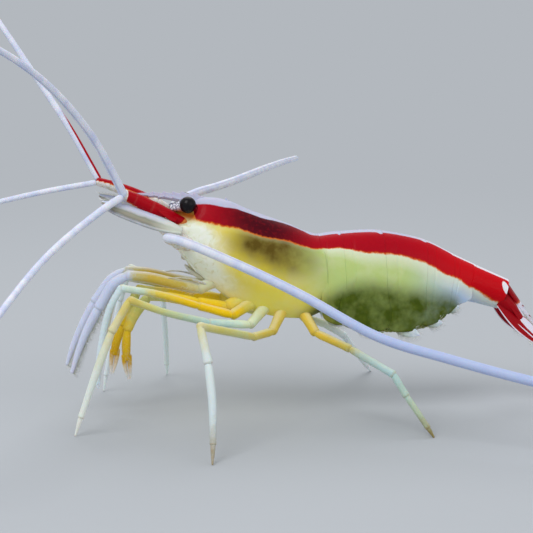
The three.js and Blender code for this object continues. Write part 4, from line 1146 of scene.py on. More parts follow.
stalk_random = np.random.default_rng(3)
stalk_hairs = []
for side, word in ((-1, "left"), (1, "right")):
    rows = np.array(ANTENNULE[word])
    parts = jointed(rows, ANTENNULE_HINGES[word], sides=24, pinch=0.02, flare=0.02)
    way = rows[3, :3] - rows[1, :3]
    outside = rows[1, :3] + [-0.2, side * 0.8, 0.1]
    point_scale = blade(outside, way + [0, side * 0.5, 0.2], [0, 0.5, 1], POINT_SCALE_LONG,
        POINT_SCALE_WIDTHS, POINT_SCALE_THICK, rib=0.05)
    point_scale[2]["over"] = np.full(len(point_scale[0]), 0.9)
    point_scale[2]["along"] = np.full(len(point_scale[0]), 0.5)
    parts.append(point_scale)
    for part in parts:
        reach = part[2]["along"]
        left_red = -0.75 + 2.1 * ease(0.92, 0.98, reach) + 2.4 * ease(0.2, 0.06, reach)
        right_red = 0.4 + 0.9 * ease(0.5, 0.35, reach)
        part[2]["red_from"] = left_red if word == "left" else right_red
    piece(f"antennule_stalk_{word}", parts, feeler_stalk, [f"antennule_{word}"])
    inner = smooth_route(rows[:, :4], 0.09)
    roots = inner[:, :3] - np.array([0, side, 0.2]) * inner[:, 3:4] * 0.9
    ways = np.tile([-0.6, -side * 0.6, -0.3], (len(roots), 1)) + stalk_random.normal(0, 0.2, roots.shape)
    stalk_hairs.append(bristles(roots, ways, stalk_random.uniform(0.3, 0.6, len(roots)), 0.018))

# ---- bases and scales of the second feelers ----
# Below each eye a short jointed base carries a long leaf-shaped scale of thin chitin, a rudder with a stiff
# outer edge. Its inner edge is fringed with hairs.

# The base's rows: x, y to the side, z, half thickness.
ANTENNA_BASE = [
    (-12.8, 1.3, 20.8, 0.7), (-13.8, 1.9, 21.2, 0.95), (-14.9, 2.8, 21.7, 0.98), (-16.1, 3.6, 22.1, 0.64),
]
SCALE_ROOT, SCALE_TIP, SCALE_ROLL = (-14.4, 3.3, 22.8), (-23.7, 3.2, 26.4), math.radians(52)
SCALE_HALF = (0.55, 0.86, 1.0, 1.04, 1.04, 0.97, 0.78, 0.22)
SCALE_THICK = 0.3
SCALE_STEPS, SCALE_SIDES = 60, 36
# The stiff edge: share of its length, how far out, half thickness.
STIFF_LONG = 9.6
STIFF_EDGE = [(0.02, 0.4, 0.16), (0.3, 0.98, 0.17), (0.6, 1.08, 0.15), (0.85, 0.96, 0.12), (0.99, 0.78, 0.03)]
SCALE_HAIRS = (0.8, 0.022, 0.1)  # length, radius, spacing
SCALE_STREAK = 0.8  # mm
BASE_SPINE_LONG, BASE_SPINE_RADIUS = 1.1, 0.16

# Scale chitin: thin, milky and lengthwise ribbed, white with grey-green and gold streaks.
scale_chitin, tree = empty_material("scale_chitin_streaked")
place = node(tree, "TexCoord").outputs["Object"]
across = node(tree, "Attribute", attribute_name="across").outputs["Fac"]
along = node(tree, "Attribute", attribute_name="along").outputs["Fac"]
cells = node(tree, "TexNoise", {"Vector": place, "Scale": MM / SCALE_STREAK, "Detail": 2.0})
bent = node(tree, "Math", [across, node(tree, "Math", [cells, 0.3], operation="MULTIPLY")], operation="ADD")
bands = node(tree, "ValToRGB", [node(tree, "MapRange", {"Value": bent, "From Min": -0.85, "From Max": 1.15})])
bands.color_ramp.elements[0].color = colour("b4bedc")
bands.color_ramp.elements[1].color = colour("b8c0d2")
for where, code in ((0.3, "ccd4ea"), (0.48, "c2c7d0"), (0.58, "94968a"), (0.7, "9e9c8c"), (0.84, "8c8a80")):
    bands.color_ramp.elements.new(where).color = colour(code)
fine = node(tree, "Math", [node(tree, "Math", [bent, 31.0], operation="MULTIPLY")], operation="SINE")
fine_share = node(tree, "MapRange", {"Value": fine, "From Min": 0.2, "From Max": 1.0, "To Max": 0.25})
base = node(tree, "Mix", [fine_share, bands, colour("b0ab8a")], data_type="RGBA")
rear_share = node(tree, "MapRange", {"Value": along, "From Min": 0.4, "From Max": 0.1, "To Max": 0.85})
base = node(tree, "Mix", [rear_share, base, colour("d4dacc")], data_type="RGBA")
face = node(tree, "BsdfPrincipled", {**WET_CHITIN, "Base Color": base})
node(tree, "OutputMaterial", [face])

for side, word in ((-1, "left"), (1, "right")):
    root, tip = np.array(SCALE_ROOT) * [1, side, 1], np.array(SCALE_TIP) * [1, side, 1]
    across_way = np.array([0, side * math.cos(SCALE_ROLL), -math.sin(SCALE_ROLL)])
    leaf = blade(root, tip - root, across_way, np.linalg.norm(tip - root), SCALE_HALF, SCALE_THICK, rib=0.1,
        cup=0.16 * side, steps=SCALE_STEPS, sides=SCALE_SIDES)
    ahead = (tip - root) / np.linalg.norm(tip - root)
    outer = across_way - ahead * np.dot(across_way, ahead)
    rib_rows = [
        (*(root + ahead * STIFF_LONG * share + outer * out), thick) for share, out, thick in STIFF_EDGE
    ]
    rib_route = smooth_route(rib_rows, 0.25)
    stiff_edge = tube(rib_route[:, :3], rib_route[:, 3], sides=10)
    stiff_edge[2]["across"] = np.full(len(stiff_edge[0]), 0.9)
    piece(f"antenna_scale_{word}_leaf", [leaf, stiff_edge], scale_chitin, [f"antenna_scale_{word}"])
    stalk_hairs.append(edge_bristles(leaf, SCALE_HAIRS, stalk_random, spans=((0.2, 1.0, -1),), lean=0.9,
        steps=SCALE_STEPS, sides=SCALE_SIDES))
    rows = [(x, side * y, z, r) for x, y, z, r in ANTENNA_BASE]
    parts = jointed(rows, [0, 1, 2, 3], sides=24, pinch=0.15, flare=0.08)
    spine_root = np.array(rows[1][:3]) + [-0.3, side * 0.7, -0.5]
    spine = bristles([spine_root], [[-1, side * 0.3, -0.1]], BASE_SPINE_LONG, BASE_SPINE_RADIUS)
    parts.append((spine[0], spine[1], {"over": np.full(BRISTLE_POINTS, 0.3)}))
    for part in parts:
        part[2]["red_from"] = 2.0  # no red at all
    piece(f"antenna_base_{word}_joints", parts, feeler_stalk, [f"antenna_base_{word}"])
plan_uv(piece("head_bristles", stalk_hairs, bristle_chitin, []))

# ---- long feelers ----
# Six white whips of hundreds of short rings of chitin: a pair from each first-feeler stalk and one from each
# second-feeler base. They are stiff enough to stand free, and in life they are longer than the body.
FEELERS = {
    "antennule_outer_flagellum_left": [
        (-21.2, -2.8, 27.3), (-22.5, -3.8, 30.0), (-25.2, -6.2, 34.9), (-30.7, -11.3, 41.4),
        (-37.5, -17.0, 46.0), (-46.0, -22.0, 49.0),
    ],
    "antennule_inner_flagellum_left": [
        (-21.6, -3.2, 26.8), (-23.5, -4.7, 25.85), (-29.8, -11.0, 21.85), (-35.3, -21.0, 17.2),
        (-38.5, -29.5, 14.0), (-41.0, -38.0, 12.0),
    ],
    "antennule_outer_flagellum_right": [
        (-23.9, 1.9, 28.6), (-27.0, 2.6, 34.3), (-30.6, 4.0, 40.0), (-34.9, 6.0, 46.6), (-40.0, 8.5, 54.0),
        (-46.0, 11.5, 61.0),
    ],
    "antennule_inner_flagellum_right": [
        (-24.4, 1.3, 28.1), (-30.0, 2.0, 27.1), (-35.6, 3.5, 25.75), (-44.0, 6.5, 23.5), (-54.0, 11.5, 21.5),
        (-64.0, 18.0, 20.5),
    ],
    "antenna_flagellum_left": [
        (-16.2, -4.1, 22.2), (-14.9, -4.9, 22.0), (-7.9, -6.6, 19.1), (-1.4, -9.4, 16.1), (6.8, -15.0, 12.0),
        (13.9, -19.0, 10.2), (22.0, -24.0, 8.6), (34.0, -31.0, 6.8), (46.0, -37.5, 6.0),
    ],
    "antenna_flagellum_right": [
        (-16.2, 4.1, 22.2), (-15.7, 5.0, 22.9), (-14.3, 5.8, 24.9), (-11.8, 6.8, 25.95), (-9.25, 9.5, 26.25),
        (-6.3, 14.0, 26.45), (-3.0, 21.0, 26.5), (0.6, 31.0, 26.15), (4.75, 44.0, 25.4), (8.4, 56.0, 24.5),
    ],
}
# Half thickness at root and tip. The second feelers are the stoutest.
FEELER_THICK = {
    "antennule_outer_flagellum_left": (0.5, 0.32), "antennule_inner_flagellum_left": (0.45, 0.36),
    "antennule_outer_flagellum_right": (0.42, 0.27), "antennule_inner_flagellum_right": (0.34, 0.23),
    "antenna_flagellum_left": (0.56, 0.58), "antenna_flagellum_right": (0.54, 0.42),
}
FEELER_SIDES = 16
FEELER_RING = 0.34  # mm, drawn a little coarser than life so that it shows
STEPS_PER_RING = 4
RING_DIP = 0.015  # how much thinner a feeler is between its rings, as a share
CAP_ROWS = 3  # rows of points that a tube has past each end
SHADED_SIDES = (1, 9)  # the two lengthwise lines of points that carry painted shade, out of FEELER_SIDES
FEELER_CLOUD = 1.6  # mm

# Feeler chitin: a thin milky-white tube, softly glossy and faintly grey between its rings, with painted shade
# in grey along two sides. The right outer one is red behind at its root, and the left second one is bluer
# outwards.
feeler_chitin, tree = empty_material("feeler_chitin_milky")
ring_dip = node(tree, "Attribute", attribute_name="dip").outputs["Fac"]
red_root = node(tree, "Attribute", attribute_name="red_root").outputs["Fac"]
place = node(tree, "TexCoord").outputs["Object"]
clouds = node(tree, "TexNoise", {"Vector": place, "Scale": MM / FEELER_CLOUD, "Detail": 2.0})
cloud_share = node(tree, "MapRange", {"Value": clouds, "From Min": 0.4, "From Max": 0.65})
base = node(tree, "Mix", [cloud_share, colour("e5e9f5"), colour("ced6f0")], data_type="RGBA")
ring_grey = node(tree, "Math", [ring_dip, 0.07], operation="MULTIPLY")
base = node(tree, "Mix", [ring_grey, base, colour("a3abc8")], data_type="RGBA")
# Painted shade: grey along two opposite lengthwise lines of each feeler.
painted_side_shade = node(tree, "Attribute", attribute_name="painted_side_shade").outputs["Fac"]
painted_side_shade_share = node(tree, "Math", [painted_side_shade, 0.55], operation="MULTIPLY")
base = node(tree, "Mix", [painted_side_shade_share, base, colour("9aa2c2")], data_type="RGBA")
blue_tip = node(tree, "Attribute", attribute_name="blue_tip").outputs["Fac"]
base = node(tree, "Mix", [blue_tip, base, colour("a4b6e0")], data_type="RGBA")
ragged = node(tree, "Math", [clouds, 0.25], operation="MULTIPLY")
red_share = node(tree, "Math", [red_root, ragged], operation="ADD")
red_share = node(tree, "MapRange", {"Value": red_share, "From Min": 0.5, "From Max": 0.68})
base = node(tree, "Mix", [red_share, base, colour("ac0a1c")], data_type="RGBA")
face = node(tree, "BsdfPrincipled", {**WET_CHITIN, "Base Color": base})
node(tree, "OutputMaterial", [face])

for name, places in FEELERS.items():
    route = smooth_route(places, FEELER_RING / STEPS_PER_RING)
    share = np.linspace(0, 1, len(route))
    dip = np.where(np.arange(len(route)) % STEPS_PER_RING == 0, 1.0, 0.0)
    root, tip = FEELER_THICK[name]
    radius = (root + (tip - root) * share) * (1 - RING_DIP * dip)
    points, faces, layers = tube(route, radius, sides=FEELER_SIDES, across=(0, 0, 1))
    rows = np.concatenate([[0] * CAP_ROWS, np.arange(len(route)), [len(route) - 1] * CAP_ROWS]).astype(int)
    reach = np.repeat(share[rows], FEELER_SIDES)
    layers["dip"] = np.repeat(dip[rows], FEELER_SIDES)
    layers["painted_side_shade"] = np.isin(np.tile(np.arange(FEELER_SIDES), len(rows)), SHADED_SIDES).astype(float)
    if name == "antenna_flagellum_left":
        layers["blue_tip"] = 0.8 * ease(0.02, 0.4, reach)
    if name == "antennule_outer_flagellum_right":
        from_middle = points.reshape(len(rows), FEELER_SIDES, 3) - route[rows][:, None]
        rearward = (from_middle / radius[rows][:, None, None])[..., 0].ravel()
        layers["red_root"] = ease(0.0, 0.6, rearward) * ease(0.34, 0.05, reach)
    piece(f"{name}_whip", [(points, faces, layers)], feeler_chitin, [name])

# ---- jaw legs and mouth ----
# The mouth is a lip, two jaws and several pairs of small leaf-like feeding limbs. Outside them is a pair as
# long as legs, brushed with hairs, and a short whip for stirring water stands at the root of each.
LIMB_CLOUD, LIMB_SPECK = 0.9, 0.25  # mm
SPECK_RELIEF = 0.000008  # metres


def limb_chitin(name, stops, edge, line=0.45, hinge="b98a3c"):
    """Limb chitin: clear, wet and thin over tinted flesh. Its top and bottom are painted paler towards the
    colour
    edge, by the share line: painted light where light comes through its edges. stops are places along the
    limb, 0 to 1, with their colours, and hinge is the colour of its joints."""
    material, tree = empty_material(name)
    place = node(tree, "TexCoord").outputs["Object"]
    along = node(tree, "Attribute", attribute_name="along").outputs["Fac"]
    over = node(tree, "Attribute", attribute_name="over").outputs["Fac"]
    joint = node(tree, "Attribute", attribute_name="joint").outputs["Fac"]
    clouds = node(tree, "TexNoise", {"Vector": place, "Scale": MM / LIMB_CLOUD, "Detail": 3.0,
        "Roughness": 0.6})
    drift = node(tree, "MapRange", {"Value": clouds, "From Min": 0.3, "From Max": 0.7, "To Min": -0.03,
        "To Max": 0.03})
    ramp = node(tree, "ValToRGB", [node(tree, "Math", [along, drift], operation="ADD")])
    for element, (where, code) in zip(ramp.color_ramp.elements, (stops[0], stops[-1])):
        element.position = where
        element.color = colour(code)
    for where, code in stops[1:-1]:
        ramp.color_ramp.elements.new(where).color = colour(code)
    # Painted light: the top and bottom of the limb are painted paler.
    off = node(tree, "Math", [over], operation="ABSOLUTE")
    painted_edge_light = node(tree, "MapRange", {"Value": off, "From Min": 0.55, "From Max": 0.95, "To Max": line})
    base = node(tree, "Mix", [painted_edge_light, ramp, colour(edge)], data_type="RGBA")
    speck = node(tree, "TexNoise", {"Vector": place, "Scale": MM / LIMB_SPECK, "Detail": 1.0})
    speck_share = node(tree, "MapRange", {"Value": speck, "From Min": 0.6, "From Max": 0.75, "To Max": 0.2})
    base = node(tree, "Mix", [speck_share, base, colour("efe2b4")], data_type="RGBA")
    hinge_share = node(tree, "MapRange", {"Value": joint, "From Min": 0.6, "From Max": 0.95, "To Max": 0.22})
    base = node(tree, "Mix", [hinge_share, base, colour(hinge)], data_type="RGBA")
    relief = node(tree, "Bump", {"Strength": 0.3, "Distance": SPECK_RELIEF, "Height": speck})
    face = node(tree, "BsdfPrincipled", {**WET_CHITIN, "Base Color": base, "Normal": relief})
    node(tree, "OutputMaterial", [face])
    return material


ROOT_DEPTH = 0.85  # where a bristle is rooted, as a share of the limb's half thickness


def limb_parts(rows, breaks, knee, **shape):
    """A jointed limb's segments above the knee and below it."""
    parts = jointed(rows, breaks, **shape)
    upper = sum(1 for b in breaks[:-1] if b < knee)
    return parts[:upper], parts[upper:]


def side_bristles(rows, span, way, sizes, spread, rng, rank=1):
    """Bristles of sizes (length, radius, spacing) on the side of a limb that faces way, over a span of its
    length. spread strews their directions, and each root bears rank of them."""
    length, radius, spacing = sizes
    route = smooth_route(rows, spacing)
    route = route[int(span[0] * len(route)) : int(span[1] * len(route))]
    route = np.repeat(route, rank, axis=0)
    ways = np.array(way, float) + rng.normal(0, spread, (len(route), 3))
    ways = ways / np.linalg.norm(ways, axis=1)[:, None]
    roots = route[:, :3] + ways * route[:, 3:4] * ROOT_DEPTH
    ahead = np.gradient(route[:, :3], axis=0)
    ahead = ahead / np.maximum(np.linalg.norm(ahead, axis=1), 1e-6)[:, None]
    roots = roots + ahead * rng.uniform(-0.5, 0.5, (len(route), 1)) * spacing * rank
    return bristles(roots, ways + ahead * 0.45, length * rng.uniform(0.6, 1.1, len(route)), radius)


limb_random = np.random.default_rng(19)
limb_hairs = []
JAW_LEG_COLOURS = [
    (0.0, "dcdcbc"), (0.14, "dadab4"), (0.22, "c8b456"), (0.38, "ccb04a"), (0.44, "c4bc84"), (0.49, "ccd6f2"),
    (1.0, "d8def4"),
]
jaw_leg_chitin = limb_chitin("limb_chitin_amber_to_white", JAW_LEG_COLOURS, "eef0ee", line=0.6,
    hinge="c3c2ae")
# Jaw legs from the body outwards: x, y, z, half thickness. Then the numbers of the rows at their hinges, and
# of the row at the main bend, the knee.
JAW_LEGS = {
    "left": [
        (-9.0, -0.9, 16.9, 0.8), (-12.3, -1.7, 15.65, 0.66), (-14.7, -1.8, 16.2, 0.66),
        (-18.3, -1.9, 17.15, 0.66), (-20.8, -1.9, 17.45, 0.6), (-22.4, -1.9, 16.5, 0.62),
        (-24.2, -1.9, 13.7, 0.58), (-25.7, -1.9, 10.9, 0.48), (-26.8, -1.9, 8.2, 0.36),
        (-27.5, -1.9, 6.0, 0.2),
    ],
    "right": [
        (-9.0, 0.9, 16.9, 0.8), (-12.3, 1.7, 15.65, 0.66), (-14.6, 1.7, 16.15, 0.66),
        (-18.3, 1.6, 17.1, 0.66), (-20.7, 1.5, 17.4, 0.6), (-22.4, 1.5, 16.5, 0.62), (-24.5, 1.5, 13.8, 0.58),
        (-26.1, 1.5, 10.9, 0.48), (-27.3, 1.5, 8.2, 0.36), (-28.0, 1.5, 6.2, 0.2),
    ],
}
JAW_LEG_HINGES, JAW_LEG_KNEE = [0, 1, 4, 6, 9], 4
# The whip at a jaw leg's root: x, y to the side, z, half thickness.
WHIP = [
    (-11.0, 1.9, 15.9, 0.16), (-12.4, 2.2, 16.6, 0.14), (-14.4, 2.35, 17.1, 0.09), (-16.1, 2.3, 17.1, 0.04),
]
# Hairs of the jaw legs: length, radius, spacing.
BRUSH_HAIRS, FRONT_HAIRS = (1.0, 0.022, 0.05), (0.4, 0.018, 0.12)
UNDER_HAIRS, ROOT_HAIRS = (0.45, 0.018, 0.12), (0.9, 0.018, 0.12)
for side, word in ((-1, "left"), (1, "right")):
    rows = JAW_LEGS[word]
    upper, lower = limb_parts(rows, JAW_LEG_HINGES, JAW_LEG_KNEE, sides=18, pinch=0.16, flare=0.06)
    whip_route = smooth_route([(x, side * y, z, r) for x, y, z, r in WHIP], 0.12)
    whip = tube(whip_route[:, :3], whip_route[:, 3] * (1 + 0.1 * (np.arange(len(whip_route)) % 2)), sides=8)
    whip[2]["along"] = np.full(len(whip[0]), 0.46)
    upper.append(whip)
    piece(f"jaw_leg_{word}_upper", upper, jaw_leg_chitin, [f"maxilliped_upper_{word}"])
    piece(f"jaw_leg_{word}_lower", lower, jaw_leg_chitin, [f"maxilliped_lower_{word}"])
    for hairy_rows, span, way, sizes, rank in (
        (rows[4:], (0.1, 1.0), (0.85, -side * 0.3, -0.5), BRUSH_HAIRS, 3),
        (rows[4:], (0.1, 1.0), (-0.6, -side * 0.3, 0.4), FRONT_HAIRS, 1),
        (rows[1:5], (0.05, 0.95), (0.1, -side * 0.3, -0.9), UNDER_HAIRS, 1),
        (rows[:3], (0.4, 1.0), (-0.7, side * 0.6, -0.3), ROOT_HAIRS, 2),
    ):
        limb_hairs.append(side_bristles(hairy_rows, span, way, sizes, 0.35, limb_random, rank))

# The mouth: middles and half sizes of the lip and a jaw, then the feeding leaves and the palp outside.
LIP, LIP_HALF = (-13.7, 0, 19.2), (0.6, 0.5, 0.4)
JAW, JAW_HALF = (-12.7, 0.46, 18.3), (0.75, 0.38, 0.6)
FEEDING_LEAVES = [  # x, y to the side and z of the root, length, half width
    (-11.5, 0.5, 17.4, 0.9, 0.28), (-11.1, 0.68, 16.9, 1.1, 0.32), (-10.7, 0.86, 16.5, 1.3, 0.32),
]
FEEDING_WIDTHS = (0.5, 0.9, 1, 0.7, 0.2)  # shares of the half width, from root to tip
FEEDING_THICK = 0.26
FEEDING_HAIRS = (0.32, 0.018, 0.09)  # length, radius, spacing
PALP = [
    (-10.9, 0.9, 16.6, 0.3), (-12.0, 0.95, 16.9, 0.26), (-13.1, 0.8, 17.5, 0.22), (-13.7, 0.5, 18.1, 0.14),
]
MOUTH_ROOT = [(-12.8, 0, 18.5), (-11.5, 0, 17.2), (-10.2, 0, 16.0)]
mouth_chitin = limb_chitin("mouth_chitin_cream", [(0.0, "dcd6a8"), (0.5, "d8d6be"), (1.0, "d6d8d2")],
    "e6e8e4")
mouth_ball = ball(3)
mouth = [(mouth_ball[0] * LIP_HALF + LIP, mouth_ball[1], {"along": 0.8})]
for side in (-1, 1):
    mouth.append((mouth_ball[0] * JAW_HALF + np.array(JAW) * [1, side, 1], mouth_ball[1], {"along": 0.3}))
    for x, y, z, reach, half in FEEDING_LEAVES:
        half_widths = [part * half for part in FEEDING_WIDTHS]
        leaf = blade([x, side * y, z], [-1, -side * 0.12, 0.42], [0.35, side * 0.5, 0.8], reach, half_widths,
            FEEDING_THICK, rib=0.06, cup=0.2 * side, bow=0.25)
        mouth.append(leaf)
        limb_hairs.append(edge_bristles(leaf, FEEDING_HAIRS, limb_random))
    palp_route = smooth_route([(x, side * y, z, r) for x, y, z, r in PALP], 0.12)
    mouth.append(tube(palp_route[:, :3], palp_route[:, 3]))
mouth.append(tube(MOUTH_ROOT, [0.7, 0.85, 0.7], [0.6, 0.7, 0.55], sides=20))
piece("mouth_and_feeding_limbs", mouth, mouth_chitin, ["mouthparts"])

# ---- walking legs ----
# Five pairs of thin hinged legs. The first pair ends in stout pincers, the second in tiny ones on a wrist of
# many short rings, and the last three in single curved claws that stand on the floor.
LEG_COLOURS = {
    "leg_1": [
        (0.0, "e4dc84"), (0.12, "e4d464"), (0.2, "f6d020"), (0.4, "f2cc24"), (0.5, "ccce88"),
        (0.64, "c8c668"), (0.69, "dccc6c"), (0.74, "e8c42c"), (0.9, "d8a818"), (0.975, "ece2d2"),
        (1.0, "f0ece8"),
    ],
    "leg_2_left": [
        (0.0, "e4dc84"), (0.1, "e0cc50"), (0.16, "f8cc14"), (0.36, "f0c81c"), (0.46, "e0cc58"),
        (0.52, "c8dcc4"), (0.6, "d4e8ee"), (1.0, "e0ecf4"),
    ],
    "leg_2_right": [(0.0, "dcc648"), (0.2, "e6c83c"), (0.44, "dcd070"), (0.54, "e4e8e2"), (1.0, "e6eef8")],
    "leg_3_left": [
        (0.0, "e0d880"), (0.16, "d8ecd4"), (0.26, "b8d8d4"), (0.36, "b8ccaa"), (0.46, "d0d084"),
        (0.53, "d6c668"), (0.62, "dcd29c"), (0.72, "e0e4cc"), (0.82, "e4eee8"), (1.0, "f0f2ea"),
    ],
    "leg_3_right": [(0.0, "e0d880"), (0.4, "d4dab0"), (0.58, "e2f0f4"), (1.0, "eaf4f8")],
    # The brown at the tips of leg_4_left and leg_5_left is painted shade.
    "leg_4_left": [
        (0.0, "e6cc5c"), (0.2, "dcc456"), (0.34, "ccd090"), (0.46, "d6cc70"), (0.56, "dad8ac"),
        (0.66, "d8e4e4"), (0.85, "ccdade"), (1.0, "9c8c6a"),
    ],
    "leg_4_right": [(0.0, "d8c858"), (0.4, "d4dab0"), (0.58, "ecfaff"), (1.0, "e8f8f4")],
    "leg_5_left": [
        (0.0, "ecce54"), (0.26, "e6c444"), (0.38, "c8ba5c"), (0.46, "bcd0c4"), (0.62, "bcdcdc"),
        (0.85, "b4c6ac"), (1.0, "8c7c48"),
    ],
    "leg_5_right": [(0.0, "d8c858"), (0.3, "dce4c4"), (0.6, "ecf8fc"), (1.0, "eef6fa")],
}
# Colours of the painted light along the top and bottom of each pair of legs.
LEG_EDGE_LIGHTS = {"leg_1": "f8e058", "leg_2": "eeeccc", "leg_3": "e6eed6", "leg_4": "e4ecde", "leg_5": "e2ecdc"}
# Legs by their joints, body outwards: x, y, z, half thickness. Before them the number of the row at the main
# bend, the knee, and those of the rows at hinges.
LEGS = [
    ("leg_1", "left", 4, [0, 1, 2, 4, 6], [
        (-6.0, -1.3, 14.7, 0.95), (-9.0, -2.4, 13.4, 0.78), (-12.5, -2.7, 14.1, 0.64),
        (-16.0, -2.8, 14.9, 0.6), (-18.3, -2.8, 15.2, 0.58), (-20.1, -2.8, 12.9, 0.64),
        (-20.9, -2.8, 11.2, 0.52), (-21.1, -2.8, 9.2, 0.62), (-21.0, -2.8, 7.0, 0.52),
        (-20.8, -2.8, 5.2, 0.3),
    ]),
    ("leg_1", "right", 4, [0, 1, 2, 4, 6], [
        (-6.0, 1.3, 14.7, 0.95), (-9.0, 2.3, 13.5, 0.78), (-12.6, 2.6, 13.9, 0.62), (-16.4, 2.7, 14.5, 0.58),
        (-19.3, 2.7, 14.9, 0.56), (-20.3, 2.6, 12.6, 0.56), (-21.1, 2.4, 10.6, 0.5), (-22.0, 2.2, 8.6, 0.62),
        (-22.3, 2.1, 6.6, 0.52), (-22.6, 2.0, 4.8, 0.3),
    ]),
    ("leg_2", "left", 4, [0, 1, 2, 4, 7], [
        (-5.0, -1.4, 14.3, 0.85), (-8.6, -3.9, 12.8, 0.58), (-12.5, -4.2, 14.0, 0.45),
        (-17.3, -4.5, 15.6, 0.45), (-21.7, -4.6, 16.5, 0.42), (-23.0, -4.6, 14.2, 0.4),
        (-24.1, -4.6, 10.0, 0.36), (-24.6, -4.6, 6.6, 0.32), (-24.5, -4.6, 4.6, 0.2),
    ]),
    ("leg_2", "right", 4, [0, 1, 2, 4, 7], [
        (-5.0, 1.4, 14.3, 0.85), (-8.6, 3.8, 12.6, 0.58), (-12.5, 4.0, 14.0, 0.45), (-17.0, 3.8, 15.4, 0.42),
        (-21.1, 3.6, 16.3, 0.4), (-22.2, 3.6, 13.6, 0.4), (-23.3, 3.6, 9.2, 0.36), (-24.0, 3.6, 5.0, 0.32),
        (-24.2, 3.6, 3.2, 0.2),
    ]),
    ("leg_3", "left", 4, [0, 1, 2, 4, 5, 7, 8], [
        (-3.7, -1.4, 13.9, 0.8), (-6.6, -4.6, 11.7, 0.52), (-11.5, -5.6, 12.3, 0.45),
        (-16.7, -6.8, 13.9, 0.42), (-20.9, -7.9, 15.7, 0.45), (-23.0, -8.3, 12.2, 0.46),
        (-24.6, -8.5, 8.2, 0.46), (-26.7, -8.5, 2.3, 0.34), (-27.4, -8.4, 0.08, 0.1),
    ]),
    ("leg_3", "right", 4, [0, 1, 2, 4, 5, 7, 8], [
        (-3.7, 1.4, 13.9, 0.8), (-6.6, 4.6, 11.9, 0.52), (-11.5, 6.0, 13.4, 0.45), (-16.5, 7.4, 15.4, 0.42),
        (-19.9, 8.5, 16.6, 0.42), (-21.1, 9.4, 12.4, 0.38), (-21.9, 10.4, 8.0, 0.36),
        (-22.9, 11.75, 2.3, 0.3), (-23.2, 12.2, 0.08, 0.1),
    ]),
    ("leg_4", "left", 3, [0, 1, 2, 3, 4, 6, 7], [
        (-1.9, -1.3, 13.5, 0.8), (-4.0, -5.0, 10.9, 0.52), (-6.6, -7.6, 10.9, 0.46),
        (-13.5, -14.5, 13.8, 0.47), (-12.8, -16.2, 10.0, 0.48), (-12.6, -18.4, 6.0, 0.47),
        (-12.8, -20.8, 2.0, 0.34), (-13.0, -22.0, 0.08, 0.1),
    ]),
    ("leg_4", "right", 3, [0, 1, 2, 3, 4, 6, 7], [
        (-1.9, 1.3, 13.5, 0.8), (-4.4, 5.0, 11.2, 0.52), (-10.0, 8.2, 13.0, 0.46), (-15.7, 11.2, 15.2, 0.44),
        (-15.4, 13.6, 10.6, 0.38), (-14.9, 16.6, 5.8, 0.36), (-14.6, 19.0, 1.8, 0.32),
        (-14.5, 20.0, 0.08, 0.1),
    ]),
    ("leg_5", "left", 3, [0, 1, 2, 3, 4, 5, 6], [
        (-0.3, -1.3, 13.3, 0.75), (1.2, -4.6, 10.5, 0.52), (4.8, -7.4, 9.1, 0.46), (9.3, -11.0, 6.7, 0.44),
        (10.6, -12.2, 4.4, 0.38), (12.7, -14.3, 1.1, 0.32), (13.3, -14.8, 0.08, 0.1),
    ]),
    ("leg_5", "right", 3, [0, 1, 2, 3, 4, 5, 6], [
        (-0.3, 1.3, 13.3, 0.75), (1.4, 4.8, 10.4, 0.52), (4.4, 8.0, 8.9, 0.46), (7.7, 11.7, 6.5, 0.44),
        (9.3, 13.8, 4.3, 0.38), (11.8, 17.1, 1.1, 0.32), (12.6, 18.2, 0.08, 0.1),
    ]),
]


def pincer(rows, palm_share, start, gap, opening):
    """A pincer from its wrist to its tips: a stout palm and two tapering fingers that open along opening,
    with gap between them. start is where the pincer begins, as a share of the whole limb."""
    route = smooth_route(rows, 0.07)
    split = int(palm_share * len(route))
    palm = route[: split + 6]
    share = np.linspace(0, 1, len(palm))
    swell = 0.78 + 0.3 * np.sin(np.pi * np.clip(share * 0.8 + 0.12, 0, 1)) ** 0.8
    made = [tube(palm[:, :3], palm[:, 3] * swell, palm[:, 3] * swell * 0.8, sides=20, domes=(0.7, 0.4))]
    opening = np.array(opening, float)
    fingers = route[split - 2 :]
    along = np.linspace(0, 1, len(fingers))
    for way, bow in ((1, 0.03), (-1, 0.05)):
        width = fingers[0, 3] * 0.52 * (1 - 0.7 * along**1.6)
        aside = gap + width * 0.92 + bow * np.sin(np.pi * along)
        line = fingers[:, :3] + opening * (aside * way)[:, None]
        made.append(tube(line, width, width * 1.25, across=opening, sides=14, domes=(0.5, 0.6)))
    palm_layers = made[0][2]
    palm_layers["along"] = start + (1 - start) * palm_layers["along"] * palm_share
    for points, faces, layers in made[1:]:
        layers["along"] = start + (1 - start) * (palm_share + (1 - palm_share) * layers["along"])
    return made


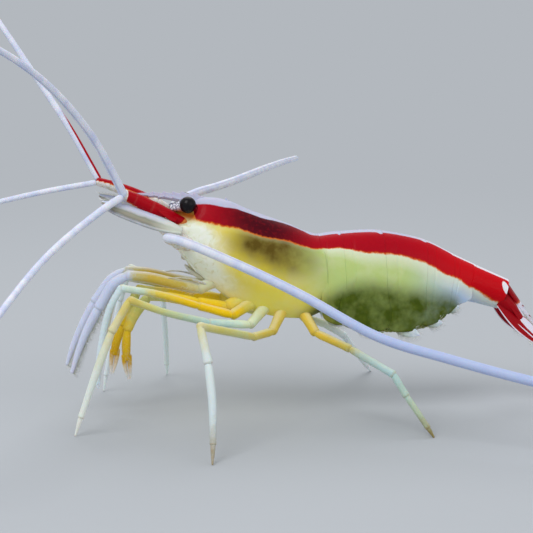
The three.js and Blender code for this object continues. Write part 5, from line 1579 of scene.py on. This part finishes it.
# Hairs of the walking legs: length, radius, spacing.
SPUR_HAIRS, LEG_HAIRS, PINCER_HAIRS = (0.34, 0.035, 0.55), (0.4, 0.016, 0.35), (0.35, 0.016, 0.06)
leg_chitins = {}
for name, stops in LEG_COLOURS.items():
    leg_chitins[name] = limb_chitin(f"limb_chitin_{name}", stops, LEG_EDGE_LIGHTS[name[:5]], hinge="b8903c")
for name, word, knee, breaks, rows in LEGS:
    side = -1 if word == "left" else 1
    upper, lower = limb_parts(rows, breaks, knee, sides=16)
    lengths = np.concatenate([[0], np.cumsum(np.linalg.norm(np.diff(np.array(rows)[:, :3], axis=0), axis=1))])
    if name == "leg_1":
        lower += pincer(rows[6:], 0.55, lengths[6] / lengths[-1], 0.02, (1, 0, 0))
    if name == "leg_2":
        wrist = smooth_route(rows[4:8], 0.09)
        ring_wave = 1 + 0.025 * np.cos(np.arange(len(wrist)) * 2 * math.pi / 7)
        many = tube(wrist[:, :3], wrist[:, 3] * ring_wave, sides=14, domes=(0.7, 0.5))
        many[2]["along"] = (lengths[4] + many[2]["along"] * (lengths[7] - lengths[4])) / lengths[-1]
        lower = [many] + pincer(rows[7:], 0.5, lengths[7] / lengths[-1], 0.0, (1, 0, 0))
    words = ("arm", "claw") if name == "leg_1" else ("upper", "lower")
    chitin = leg_chitins.get(f"{name}_{word}") or leg_chitins[name]
    piece(f"{name}_{word}_{words[0]}", upper, chitin, [f"{name}_{words[0]}_{word}"])
    piece(f"{name}_{word}_{words[1]}", lower, chitin, [f"{name}_{words[1]}_{word}"])
    if name in ("leg_3", "leg_4", "leg_5"):
        spur_way = (0.5, -side * 0.5, -0.6)
        limb_hairs.append(side_bristles(rows[knee + 1 : -1], (0.05, 1.0), spur_way, SPUR_HAIRS, 0.3,
            limb_random))
    under_way = (0, side * 0.3, -0.9)
    limb_hairs.append(side_bristles(rows[1 : knee + 1], (0.05, 0.95), under_way, LEG_HAIRS, 0.3, limb_random))
    if name == "leg_1":
        tuft_way = (0, side, 0.2)
        limb_hairs.append(side_bristles(rows[6:], (0.3, 1.0), tuft_way, PINCER_HAIRS, 0.8, limb_random,
            rank=2))
plan_uv(piece("limb_bristles", limb_hairs, bristle_chitin, []))
